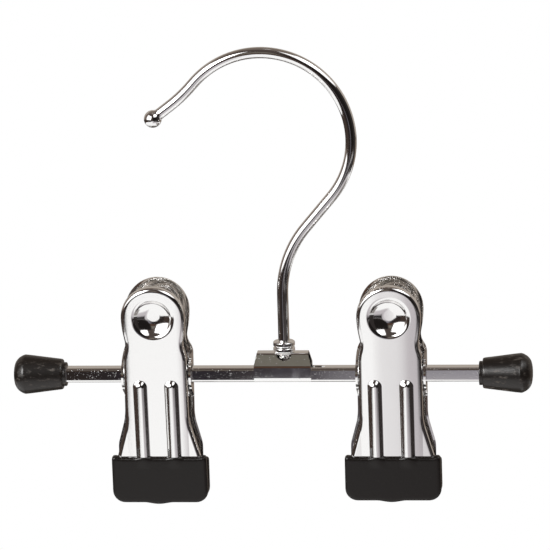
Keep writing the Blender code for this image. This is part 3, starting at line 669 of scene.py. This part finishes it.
# %% Jaw sizes
SHEET, PLATE_FACE, JAW_TILT = 0.7 * MM, 5.595 * MM, math.radians(5.022)
EAR_HALF_WIDTH = {"front": 9.9 * MM, "back": 10.9 * MM}
THUMB_RADIUS, THUMB_TOP, THUMB_WAIST = 10.0 * MM, 29.95 * MM, 17.2 * MM
NECK, NECK_HEIGHT, EAR_TOP = 8.85 * MM, 10.9 * MM, 7.6 * MM
FLARE_START, FLARE_SLOPE = 14.2 * MM, 0.28
FOOT_HALF_WIDTH, PLATE_FOOT = 13.3 * MM, 38.9 * MM
EAR_RADIUS, EAR_HOLE_RADIUS = 4.4 * MM, 3.18 * MM
EAR_ROOT = EAR_RADIUS * math.cos(math.radians(25))
EDGE_BEND, BEND_STEPS, EDGE_DEPTH, FLAT_RIM = 1.2 * MM, 10, 2.4 * MM, 0.25 * MM
EDGE_TAPER, TAPER_RUN = 0.8 * MM, 7 * MM
LONG_SIDE, SIDE_CUTS, CORNER_STEPS = 12 * MM, 90, 14
print(f"a jaw is {(THUMB_TOP + PLATE_FOOT) / MM:.1f} mm long and {2 * FOOT_HALF_WIDTH / MM:.1f} mm wide")


# %% The blank
def rounded_blank(bm, corners, steps):
    """A flat face from corners (point, reach of the rounding), each rounded by a vertex bevel."""
    verts = [bm.verts.new(point) for point, _ in corners]
    bm.faces.new(verts)
    for vert, (_, reach) in zip(verts, corners):
        if reach:
            bmesh.ops.bevel(bm, geom=[vert], offset=reach, segments=steps, profile=0.5, affect="VERTICES",
                            clamp_overlap=False, material=-1)
    bmesh.ops.remove_doubles(bm, verts=bm.verts, dist=WELD)


def turned_in_depth(z):
    """How far back the turned edge reaches at a height: a rim all round, and an ear that passes the bar."""
    if abs(z) >= EAR_TOP:
        return EDGE_DEPTH - EDGE_TAPER * min(max((-z - FLARE_START) / TAPER_RUN, 0), 1)
    if abs(z) <= EAR_ROOT:
        return PLATE_FACE + math.sqrt(EAR_RADIUS ** 2 - z ** 2)
    full = PLATE_FACE + math.sqrt(EAR_RADIUS ** 2 - EAR_ROOT ** 2)
    share = (abs(z) - EAR_ROOT) / (EAR_TOP - EAR_ROOT)
    return full + (EDGE_DEPTH - full) * (1 - math.cos(math.pi * share)) / 2


def blank_corners(ear):
    """The corners from the thumb end down to the foot, each with the reach of its rounding."""
    flare_end = FLARE_START + (FOOT_HALF_WIDTH - ear) / FLARE_SLOPE
    right = [((THUMB_RADIUS, THUMB_TOP), THUMB_RADIUS * 0.99995), ((THUMB_RADIUS, THUMB_WAIST), 2.6 * MM),
             ((NECK, NECK_HEIGHT), 1.6 * MM), ((ear, EAR_TOP), 1.4 * MM), ((ear, -FLARE_START), 2.2 * MM),
             ((FOOT_HALF_WIDTH, -flare_end), 1.0 * MM), ((FOOT_HALF_WIDTH, -PLATE_FOOT), 3.0 * MM)]
    left = [((-x, z), reach) for (x, z), reach in reversed(right)]
    return [((x, EDGE_BEND - PLATE_FACE, z), reach) for (x, z), reach in right + left]


print(f"the rim reaches {EDGE_DEPTH / MM:.1f} mm back and the ears {turned_in_depth(0) / MM:.1f} mm")


# %% Turn back the edge
def widest_face(bm):
    return max(bm.faces, key=lambda face: face.calc_area())


def face_forward(bm):
    """Turns an open shell so that its widest face looks at the camera's side."""
    if widest_face(bm).normal.y > 0:
        bmesh.ops.reverse_faces(bm, faces=bm.faces)


def inset_widest(bm, thickness, depth):
    bmesh.ops.inset_region(bm, faces=[widest_face(bm)], use_even_offset=True, thickness=thickness,
                           depth=depth)


def pressed_edge(bm, ear):
    """The blank with its edge turned back, without its flat middle. Returns that middle's border."""
    rounded_blank(bm, blank_corners(ear), CORNER_STEPS)
    long_sides = [e for e in bm.edges if e.calc_length() > LONG_SIDE and abs(e.verts[0].co.x) > NECK * 0.9]
    bmesh.ops.subdivide_edges(bm, edges=long_sides, cuts=SIDE_CUTS)
    face_forward(bm)
    verts, _ = pull(bm, list(widest_face(bm).edges))
    for vert in verts:
        vert.co.y = turned_in_depth(vert.co.z) - PLATE_FACE
    turns = [math.pi / 2 * step / BEND_STEPS for step in range(BEND_STEPS + 1)]
    for turn, onward in zip(turns, turns[1:]):
        inset_widest(bm, EDGE_BEND * (math.cos(turn) - math.cos(onward)),
                     EDGE_BEND * (math.sin(onward) - math.sin(turn)))
    inset_widest(bm, FLAT_RIM, 0)
    front = widest_face(bm)
    edges = list(front.edges)
    bmesh.ops.delete(bm, geom=[front], context="FACES_ONLY")
    return edges


print(f"the edge bends round {EDGE_BEND / MM:.1f} mm in {BEND_STEPS} steps")

# %% [markdown]
# ### The dish
#
# The thumb's dish is drawn by a round punch, so its section is a lip that turns in and a bowl that turns
# out again, down to a small flat floor. A mirror shows every kink in a curve, so both are true arcs that
# meet at one slope, and not a line through points. The section is spun all the way round.

# %% Sink the dish
DISH_HEIGHT = 20.0 * MM
DISH_EDGE, DISH_FLOOR, DISH_BOWL = 6.95 * MM, 1.5 * MM, 5.7 * MM
DISH_STEEPEST = math.radians(46.5)
DISH_LIP = (DISH_EDGE - DISH_FLOOR) / math.sin(DISH_STEEPEST) - DISH_BOWL
DISH_DEPTH = (DISH_LIP + DISH_BOWL) * (1 - math.cos(DISH_STEEPEST))
ARC_STEPS, DISH_STEPS = 12, 96


def border(bm, before):
    """The boundary edges that weren't there before."""
    return [e for e in bm.edges if e.is_boundary and e not in before]


def weld_new(bm, before):
    """Merges the doubles of what wasn't there before, and nothing else."""
    verts = {v for e in bm.edges if e not in before for v in e.verts}
    bmesh.ops.remove_doubles(bm, verts=list(verts), dist=WELD)


def pressed_dish(bm):
    """The dish inside a ring of flat metal. Returns the ring's border."""
    before = set(bm.edges)
    turns = [DISH_STEEPEST * step / ARC_STEPS for step in range(ARC_STEPS + 1)]
    lip = [(DISH_EDGE - DISH_LIP * math.sin(t), DISH_LIP * (1 - math.cos(t))) for t in turns]
    bowl = [(DISH_FLOOR + DISH_BOWL * math.sin(t), DISH_DEPTH - DISH_BOWL * (1 - math.cos(t)))
            for t in reversed(turns)]
    profile = [(DISH_EDGE + FLAT_RIM, 0)] + lip + bowl[1:] + [(0, DISH_DEPTH)]
    points = [(radius, depth - PLATE_FACE, DISH_HEIGHT) for radius, depth in profile]
    spun(bm, chain(bm, points), (0, 0, DISH_HEIGHT), (0, 1, 0), DISH_STEPS)
    weld_new(bm, before)
    return border(bm, before)


print(f"the dish is {2 * DISH_EDGE / MM:.1f} mm across and {DISH_DEPTH / MM:.2f} mm deep")

# %% [markdown]
# ### The ribs
#
# Two ribs stiffen the plate between the bar and the foot. Each is the dish's trick done by halves: half a
# turn for the round top, then an extrusion of its two ends down to the foot, where a sill closes it.

# %% Raise the ribs
RIB_OFFSET, RIB_TOP, RIB_FOOT = 4.9 * MM, 2.5 * MM, 27.4 * MM
RIB_PROFILE = [
    # distance from the rib's middle and height over the plate, in millimetres
    (2.5, 0.0), (2.25, 0.0), (2.12, 0.04), (1.9, 0.2), (1.6, 0.45), (1.3, 0.7), (1.05, 0.88), (0.8, 1.0),
    (0.5, 1.07), (0.0, 1.1),
]
RIB_STEPS = 40


def at_height(edges, z):
    return [e for e in edges if all(abs(v.co.z - z) < WELD for v in e.verts)]


def pressed_rib(bm, middle):
    """A rib inside a strip of flat metal. Returns the strip's border."""
    before = set(bm.edges)
    points = [(middle + reach * MM, -PLATE_FACE - height * MM, -RIB_TOP)
              for reach, height in flowing(RIB_PROFILE)]
    spun(bm, chain(bm, points), (middle, 0, -RIB_TOP), (0, -1, 0), RIB_STEPS, 180)
    weld_new(bm, before)
    pull(bm, at_height(border(bm, before), -RIB_TOP), (0, 0, RIB_TOP - RIB_FOOT))
    weld_new(bm, before)
    arch = [e for e in at_height(border(bm, before), -RIB_FOOT)
            if any(v.co.y < -PLATE_FACE - WELD for v in e.verts)]
    feet = sorted({v for e in arch for v in e.verts}, key=lambda v: v.co.x)
    sill = bm.edges.new((feet[0], feet[-1]))
    bmesh.ops.edgeloop_fill(bm, edges=arch + [sill])
    return border(bm, before)


def pressed_plate(ear):
    bm = bmesh.new()
    edges = pressed_edge(bm, ear) + pressed_dish(bm)
    for middle in (-RIB_OFFSET, RIB_OFFSET):
        edges += pressed_rib(bm, middle)
    bmesh.ops.triangle_fill(bm, use_beauty=True, edges=edges, normal=(0, -1, 0))
    bmesh.ops.recalc_face_normals(bm, faces=bm.faces)
    face_forward(bm)
    return bm


print(f"the ribs are {(RIB_FOOT - RIB_TOP) / MM:.1f} mm long under their round tops")

# %% [markdown]
# ### From one blank to four jaws
#
# The front and back jaws differ only in how far their ears stand apart, so that they nest on the bar. Each
# one is built about the bar's axis, tilted until the dipped feet meet, and turned round for the back.

# %% Place the four jaws
def jaw_place(side, face):
    turn = {"front": 0, "back": math.pi}[face]
    return (Matrix.Translation((CLIP_X[side], 0, BAR_Z)) @ Matrix.Rotation(turn, 4, "Z")
            @ Matrix.Rotation(JAW_TILT, 4, "X"))


def make_jaw(side, face):
    bm = pressed_plate(EAR_HALF_WIDTH[face])
    bm.transform(jaw_place(side, face))
    jaw = new_piece(f"{side}_{face}_pressed_jaw", bm, jaw_chrome[side], outward=False)
    smooth(jaw, 50)
    thicken(jaw, SHEET)
    settle(jaw)
    through_ears = jaw_place(side, face) @ Matrix.Rotation(math.pi / 2, 4, "Y")
    carve(jaw, rod(EAR_HOLE_RADIUS, 26 * MM, 64, through_ears))
    smooth(jaw, 50)
    even_shading(jaw)
    seat(jaw, f"{side}_{face}_jaw", f"{side}_{face}_jaw")


for side in SIDES:
    for face in EAR_HALF_WIDTH:
        make_jaw(side, face)

# %% [markdown]
# ## The dipped tips
#
# Liquid vinyl rounds every edge, climbs a little at the plate's corners and over the ribs, and leaves a bead
# at the lowest point where it last dripped. The tip starts as a blank with a raised corner at each end. A
# subdivided box would pinch at its corners. A voxel remesh gives the tip an even skin of small faces, which
# smoothing rounds and a few gentle pushes shape.

# %% Tip sizes
TIP_TOP, TIP_FOOT = {"front": 25.6 * MM, "back": 27.6 * MM}, {"left": 40.75 * MM, "right": 40.1 * MM}
TIP_TOP_HALF, TIP_FOOT_HALF = 14.95 * MM, 15.1 * MM
TIP_BACK, TIP_FRONT, TIP_BEVEL = 3.75 * MM, 6.8 * MM, 1.45 * MM
TIP_EAR_RISE, TIP_EAR_RUN = 0.5 * MM, 2.6 * MM
VOXEL, SMOOTHINGS = 0.28 * MM, 6
# How far the vinyl is pushed over a rib and at the drip, and within what reach of it.
RIB_REACH = 2.9 * MM
CLIMB, CLIMB_REACH = 0.45 * MM, 2.2 * MM
SWELLING, SWELLING_REACH = 0.28 * MM, 4 * MM
DRIP, DRIP_X, DRIP_REACH = 0.55 * MM, -0.6 * MM, (4.6 * MM, 2.6 * MM)
print(f"the dip is {(TIP_FRONT - TIP_BACK) / MM:.2f} mm thick over the foot")


# %% Level the vinyl
def bell(distance, reach):
    """1 at no distance, falling smoothly to 0 at the reach."""
    share = min(abs(distance) / reach, 1)
    return (1 - share * share) ** 2


def tip_corners(top, foot):
    """The blank's corners, each with the reach of its rounding."""
    ear, inner = TIP_EAR_RISE - top, TIP_TOP_HALF - TIP_EAR_RUN
    right = [((inner, -top), 0.8 * MM), ((TIP_TOP_HALF, ear), 1.1 * MM), ((TIP_FOOT_HALF, -foot), 3.9 * MM)]
    left = [((-x, z), reach) for (x, z), reach in reversed(right)]
    return [((x, -TIP_FRONT, z), reach) for (x, z), reach in right + left]


def level_vinyl(piece, top, foot):
    """Smooths and pushes the skin: it climbs and swells over the ribs near the top, and beads at the foot."""
    bm = bmesh.new()
    bm.from_mesh(piece.data)
    for _ in range(SMOOTHINGS):
        bmesh.ops.smooth_vert(bm, verts=bm.verts, factor=0.5, use_axis_x=True, use_axis_y=True,
                              use_axis_z=True)
    for vert in bm.verts:
        x, y, z = vert.co
        below = -z - top
        rib = bell(abs(x) - RIB_OFFSET, RIB_REACH)
        front = min(max((-y - TIP_BACK) / (TIP_FRONT - TIP_BACK), 0), 1)
        vert.co.z += CLIMB * rib * bell(below, CLIMB_REACH) * front
        vert.co.y -= SWELLING * rib * bell(below, SWELLING_REACH) * front
        vert.co.z -= DRIP * bell(x - DRIP_X, DRIP_REACH[0]) * bell(z + foot, DRIP_REACH[1])
    bm.to_mesh(piece.data)
    bm.free()


print("the drip hangs", round(DRIP / MM, 2), "mm below the foot")


# %% Dip the tips
def make_tip(side, face):
    bm = bmesh.new()
    rounded_blank(bm, tip_corners(TIP_TOP[face], TIP_FOOT[side]), 10)
    made = bmesh.ops.extrude_face_region(bm, geom=bm.faces[:])["geom"]
    bmesh.ops.translate(bm, verts=only(Vert, made), vec=(0, TIP_FRONT - TIP_BACK, 0))
    bmesh.ops.recalc_face_normals(bm, faces=bm.faces)
    bevel_edges(bm, sharp_edges(bm, 60), TIP_BEVEL, 4)
    tip = new_piece(f"{side}_{face}_dipped_tip", bm, dip_vinyl)
    remesh = tip.modifiers.new("skin", "REMESH")
    remesh.mode, remesh.voxel_size = "VOXEL", VOXEL
    settle(tip)
    level_vinyl(tip, TIP_TOP[face], TIP_FOOT[side])
    tip.data.transform(jaw_place(side, face))
    tip.data.materials.clear()
    tip.data.materials.append(dip_vinyl)
    smooth(tip, 80)
    seat(tip, f"{side}_{face}_jaw", f"{side}_{face}_tip")


for side in SIDES:
    for face in EAR_HALF_WIDTH:
        make_tip(side, face)

# %% [markdown]
# ## The leaf springs
#
# Inside each clip a strip of spring steel is bent round under the bar, and its two arms push the thumb ends
# apart. A curve with a flat bevel would do, but its bends would only be near their radius. Here half a
# spring is a chain of moves: the strip's end edge is spun round the bar for the bight, run straight up to
# the dish, and spun once more for the curl.

# %% Spring sizes
SPRING_HALF_WIDTH, SPRING_SHEET, SPRING_RIM, CLEARANCE = 4.0 * MM, 0.5 * MM, 0.1 * MM, 0.3 * MM
BIGHT_STEPS, ARM_CUTS = 28, 24
CURL_RADIUS, CURL_DEGREES, CURL_STEPS = 1.5 * MM, 55, 10
BAR_REACH = (BAR_SIDE / 2 - BAR_CORNER) * math.sqrt(2) + BAR_CORNER
SPRING_RADIUS = BAR_REACH + CLEARANCE + SPRING_SHEET / 2


def spring_arm():
    """Where the arm leaves the bight, as an angle, and how long it runs to the back of the dish."""
    depth = PLATE_FACE - DISH_DEPTH - SHEET - CLEARANCE - SPRING_SHEET / 2
    y = depth * math.cos(JAW_TILT) + DISH_HEIGHT * math.sin(JAW_TILT)
    z = DISH_HEIGHT * math.cos(JAW_TILT) - depth * math.sin(JAW_TILT)
    reach = math.hypot(y, z)
    angle = math.atan2(z, y) - math.acos(SPRING_RADIUS / reach)
    return angle, math.sqrt(reach ** 2 - SPRING_RADIUS ** 2)


print(f"a spring's arm is straight for {spring_arm()[1] / MM:.1f} mm")


# %% Bend the springs
def spring_half(side, face, toward):
    """toward is -1 for the front half and 1 for the back half."""
    bm = bmesh.new()
    bar_axis = Vector((CLIP_X[side], 0, BAR_Z))
    ends = [bar_axis + Vector((x, 0, -SPRING_RADIUS)) for x in (-SPRING_HALF_WIDTH, SPRING_HALF_WIDTH)]
    angle, arm = spring_arm()
    edges = spun(bm, chain(bm, ends), bar_axis, (1, 0, 0), BIGHT_STEPS, toward * (90 + math.degrees(angle)))
    up = Vector((0, -toward * math.sin(angle), math.cos(angle)))
    verts, edges = pull(bm, edges, up * arm)
    tip_middle = sum((v.co for v in verts), Vector()) / len(verts)
    inward = Vector((0, -toward * math.cos(angle), -math.sin(angle)))
    curl_centre = tip_middle + inward * CURL_RADIUS
    spun(bm, with_ends(edges), curl_centre, (1, 0, 0), CURL_STEPS, toward * CURL_DEGREES)
    bmesh.ops.subdivide_edges(bm, edges=[e for e in bm.edges if e.calc_length() > LONG_SIDE], cuts=ARM_CUTS,
                              use_grid_fill=True)
    half = new_piece(f"{side}_{face}_spring_arm", bm, spring_steel)
    thicken(half, SPRING_SHEET, offset=0)
    soften(half, SPRING_RIM, 60)
    settle(half)
    smooth(half, 40)
    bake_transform(half)
    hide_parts(f"{side}_leaf_spring")
    report(half)


for side in SIDES:
    spring_half(side, "front", -1)
    spring_half(side, "back", 1)

# %% [markdown]
# ## The studio
#
# A mirror shows its room, so the room is built with care. The photograph was cut out on white, and its
# chrome shows white paper below, a dark room in front and at the sides, and lamps above. The world and the
# floor are white to the camera and in reflections, and dimmer where they light the vinyl. Plain cards,
# which only reflections see, make the dark parts of the room. A picture of a room would do the same, but
# the script reads no images.

# %% World and floor
WHITE, PAPER = colour("#ffffff"), colour("#e8e8e8")
FILL_LEVEL = 0.55
FLOOR_Z, FLOOR_SIZE = -0.75, 16.0


def bare_tree(owner):
    """The empty node tree of a world or a material."""
    owner.use_nodes = True
    owner.node_tree.nodes.clear()
    return owner.node_tree


def shown_or_lit(tree, output, shown, lit):
    """Gives the camera and the reflections one shader, and the light on the object the other."""
    path = add_node(tree, "LightPath").outputs
    either = add_node(tree, "Math", {0: path["Is Camera Ray"], 1: path["Is Glossy Ray"]}, operation="MAXIMUM")
    seen = add_node(tree, "Math", {0: either, 1: path["Is Transmission Ray"]}, operation="MAXIMUM")
    both = add_node(tree, "MixShader", {0: seen, 1: lit, 2: shown})
    add_node(tree, output, {"Surface": both})


world = bpy.data.worlds.new("white_studio")
bpy.context.scene.world = world
tree = bare_tree(world)
shown_or_lit(tree, "OutputWorld", add_node(tree, "Background", Color=WHITE, Strength=1.0),
             add_node(tree, "Background", Color=WHITE, Strength=FILL_LEVEL))
paper = bpy.data.materials.new("white_paper_floor")
tree = bare_tree(paper)
shown_or_lit(tree, "OutputMaterial", add_node(tree, "Emission", Color=WHITE, Strength=1.0),
             add_node(tree, "BsdfDiffuse", Color=PAPER))
bm = bmesh.new()
bmesh.ops.create_grid(bm, x_segments=1, y_segments=1, size=FLOOR_SIZE / 2,
                      matrix=Matrix.Translation((0, 0, FLOOR_Z)))
floor = new_piece("paper_floor", bm, paper)
floor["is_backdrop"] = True
print(f"white world, and a floor {-FLOOR_Z:.2f} m below the hook's crown")

# %% [markdown]
# ### Cards round the table
#
# Each card is part of a dome round the object: an upright arc of vertices, spun round the vertical axis
# through a range of headings. A heading of 0 faces the camera's side and 90 the right. Only reflections see
# the cards, so they neither shade the object nor show in the picture. Two of them are softboxes, one at the
# left and one high at the right, each with its lamp as a brighter core. The rest is the dark room, the
# camera in its middle and the edge of the table, below which the white paper begins. A nearer card hides
# what lies behind it, and a soft edge keeps its outline from drawing a hard line in the chrome.

# %% Reflection cards
CARD_CENTRE = Vector((STEM_X, 0, BAR_Z + 20 * MM))
CARD_COLUMNS, CARD_ROWS = 48, 24
ROOM, FAR, NEAR = 1.7, 1.6, 0.62
CARDS = [
    # name, hex colour, headings and heights in degrees, distance in metres, soft edge in degrees, brightness
    ("dark_room", "#4a413d", (-180, 180), (-20, 88), ROOM, 2),
    ("ceiling_middle", "#6f655e", (-180, 180), (70, 89.5), FAR + 0.06, 4),
    ("curtain_left", "#6f635c", (-122, -72), (-8, 72), FAR + 0.05, 4),
    ("wall_behind", "#aea59c", (104, 242), (-9, 46), FAR + 0.03, 3),
    ("upper_wall_behind", "#7a6f66", (100, 244), (42, 76), FAR + 0.04, 4),
    ("softbox_left", "#ffffff", (-80, -17), (-3, 48), FAR, 2, 1.35),
    ("lamp_behind_softbox_left", "#ffffff", (-54, -20), (12, 40), FAR - 0.01, 5, 15.0),
    ("softbox_right", "#ffffff", (18, 104), (31, 70), FAR, 3, 1.35),
    ("lamp_behind_softbox_right", "#ffffff", (38, 80), (42, 60), FAR - 0.01, 5, 6.0),
    ("camera_body", "#6f6b62", (-13, 0), (5, 24), FAR, 3),
    ("camera_lens", "#4f3a2e", (-16, 3), (-9, 7), FAR, 6),
    ("dark_wall_right", "#1c1918", (-1, 64), (-16, 32), FAR - 0.02, 3),
    ("dark_wall_far_right", "#302c2b", (60, 106), (-31, 31), FAR - 0.03, 3),
    ("shelf_behind_left", "#3b3735", (172, 244), (-30, -7), FAR - 0.05, 3),
    ("shelf_behind_right", "#85796f", (100, 178), (-30, -7), FAR - 0.06, 3),
    ("table_edge_left", "#3f3530", (-122, -44), (-29, -4), FAR - 0.05, 2),
    ("table_edge_middle", "#2b2523", (-48, -18), (-26, -4), FAR - 0.06, 2),
    ("table_edge_inner", "#2b2523", (-22, -8), (-21, -4), FAR - 0.065, 1.5),
    ("table_edge_front_dark", "#29262a", (-11, -6.4), (-21, -6), FAR - 0.07, 1),
    ("table_edge_front_mid", "#39363b", (-7.2, -4.4), (-21, -6), FAR - 0.08, 1),
    ("table_edge_front_grey", "#55535a", (-5.4, -2.6), (-21, -6), FAR - 0.09, 1),
    ("table_edge_front_pale", "#7b7981", (-3.6, 3), (-21, -7), FAR - 0.10, 1.2),
    # painted shade: this card draws the white paper grey at the front right, where it lies in shade
    ("grey_paper_right", "#c2bdc0", (-5, 70), (-47, -14), NEAR + 0.04, 8),
    ("dark_table_right", "#1c1918", (8, 68), (-30, -12), NEAR + 0.03, 7),
    ("dark_table_far_right", "#302c2b", (62, 108), (-31, -12), NEAR + 0.02, 3),
    ("shaded_paper_right", "#8f8a87", (64, 158), (-60, -30), NEAR + 0.01, 5),
    ("shaded_paper_behind", "#605b57", (130, 242), (-88, -28), NEAR - 0.03, 7),
    ("shadow_on_paper", "#6f6b68", (-180, 180), (-89.5, -84), NEAR - 0.04, 2),
]
print(len(CARDS), "cards")


# %% Hang the cards
def card_finish(name, hex_text, brightness):
    """An even glow that its edges let through, by the attribute that the card carries."""
    finish = bpy.data.materials.new(name + "_card")
    tree = bare_tree(finish)
    glow = add_node(tree, "Emission", Color=colour(hex_text), Strength=brightness)
    clear = add_node(tree, "BsdfTransparent")
    cover = add_node(tree, "Attribute", attribute_name="cover").outputs["Fac"]
    soft = add_node(tree, "MixShader", {0: cover, 1: clear, 2: glow})
    add_node(tree, "OutputMaterial", {"Surface": soft})
    return finish


def card(name, hex_text, headings, heights, distance, soft_edge, brightness=1.0):
    bm = bmesh.new()
    width = headings[1] - headings[0]
    start, low, high = (math.radians(v) for v in (headings[0], *heights))
    arc = [low + (high - low) * step / CARD_ROWS for step in range(CARD_ROWS + 1)]
    points = [CARD_CENTRE + distance * Vector((math.sin(start) * math.cos(h), -math.cos(start) * math.cos(h),
                                               math.sin(h))) for h in arc]
    spun(bm, chain(bm, points), CARD_CENTRE, (0, 0, 1), CARD_COLUMNS, width)
    cover = bm.verts.layers.float.new("cover")
    for vert in bm.verts:
        x, y, z = vert.co - CARD_CENTRE
        height = math.degrees(math.atan2(z, math.hypot(x, y)))
        # The one degree keeps a vertex that lies on the first edge from counting as a whole turn away.
        heading = (math.degrees(math.atan2(x, -y)) - headings[0] + 1) % 360 - 1
        inside = [height - heights[0], heights[1] - height]
        if width < 360:
            inside += [heading, width - heading]
        vert[cover] = min(max(min(inside) / soft_edge, 0), 1)
    made = new_piece(name + "_card", bm, card_finish(name, hex_text, brightness))
    made.visible_camera = made.visible_diffuse = made.visible_shadow = False
    made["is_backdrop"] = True


for facts in CARDS:
    card(*facts)
print(f"the cards stand {NEAR:.1f} to {ROOM:.1f} m away")

# %% [markdown]
# ## The camera
#
# The hanger was photographed from a little above and a little to the right, with a long lens. The camera
# stands 1.3 m away, and its roll of under two degrees is the tilt of the bar in the picture. Its three axes
# are worked out from the angles, so that nothing but the angles and the point it looks at is typed.

# %% Camera
AZIMUTH, ELEVATION, ROLL = math.radians(6.0), math.radians(13.6), math.radians(1.7)
DISTANCE = 1300 * MM
PIXELS_PER_MM, PICTURE_WIDTH, SENSOR_WIDTH = 3.231, 550, 36.0
AIM = Vector((STEM_X - 2.2 * MM, 0, BAR_Z + 31.55 * MM))

back = Vector((math.sin(AZIMUTH) * math.cos(ELEVATION), -math.cos(AZIMUTH) * math.cos(ELEVATION),
               math.sin(ELEVATION)))
right = Vector((math.cos(AZIMUTH), math.sin(AZIMUTH), 0))
up = back.cross(right)
rolled_right = right * math.cos(ROLL) - up * math.sin(ROLL)
rolled_up = right * math.sin(ROLL) + up * math.cos(ROLL)
lens = bpy.data.cameras.new("long_lens")
lens.sensor_width = SENSOR_WIDTH
lens.lens = PIXELS_PER_MM * DISTANCE / MM / PICTURE_WIDTH * SENSOR_WIDTH
lens.clip_end = 50
camera = bpy.data.objects.new("camera", lens)
camera.matrix_world = Matrix.Translation(AIM + back * DISTANCE) @ Matrix(
    (rolled_right, rolled_up, back)).transposed().to_4x4()
bpy.context.scene.collection.objects.link(camera)
bpy.context.scene.camera = camera
print(f"lens {lens.lens:.0f} mm")

# %% [markdown]
# ## Light level and sizes
#
# The Standard view shows a colour as it is written when the light on it adds up to about one. How far
# each side of this model lies from the plain model's box is printed.

# %% View and sizes
bpy.context.scene.view_settings.view_transform = "Standard"
visual_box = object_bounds()
for axis, name in enumerate("XYZ"):
    grown = [(visual_box[0][axis] - cad_box[0][axis]) / MM, (visual_box[1][axis] - cad_box[1][axis]) / MM]
    print(f"{name}: low side moved {grown[0]:.2f} mm, high side {grown[1]:.2f} mm")
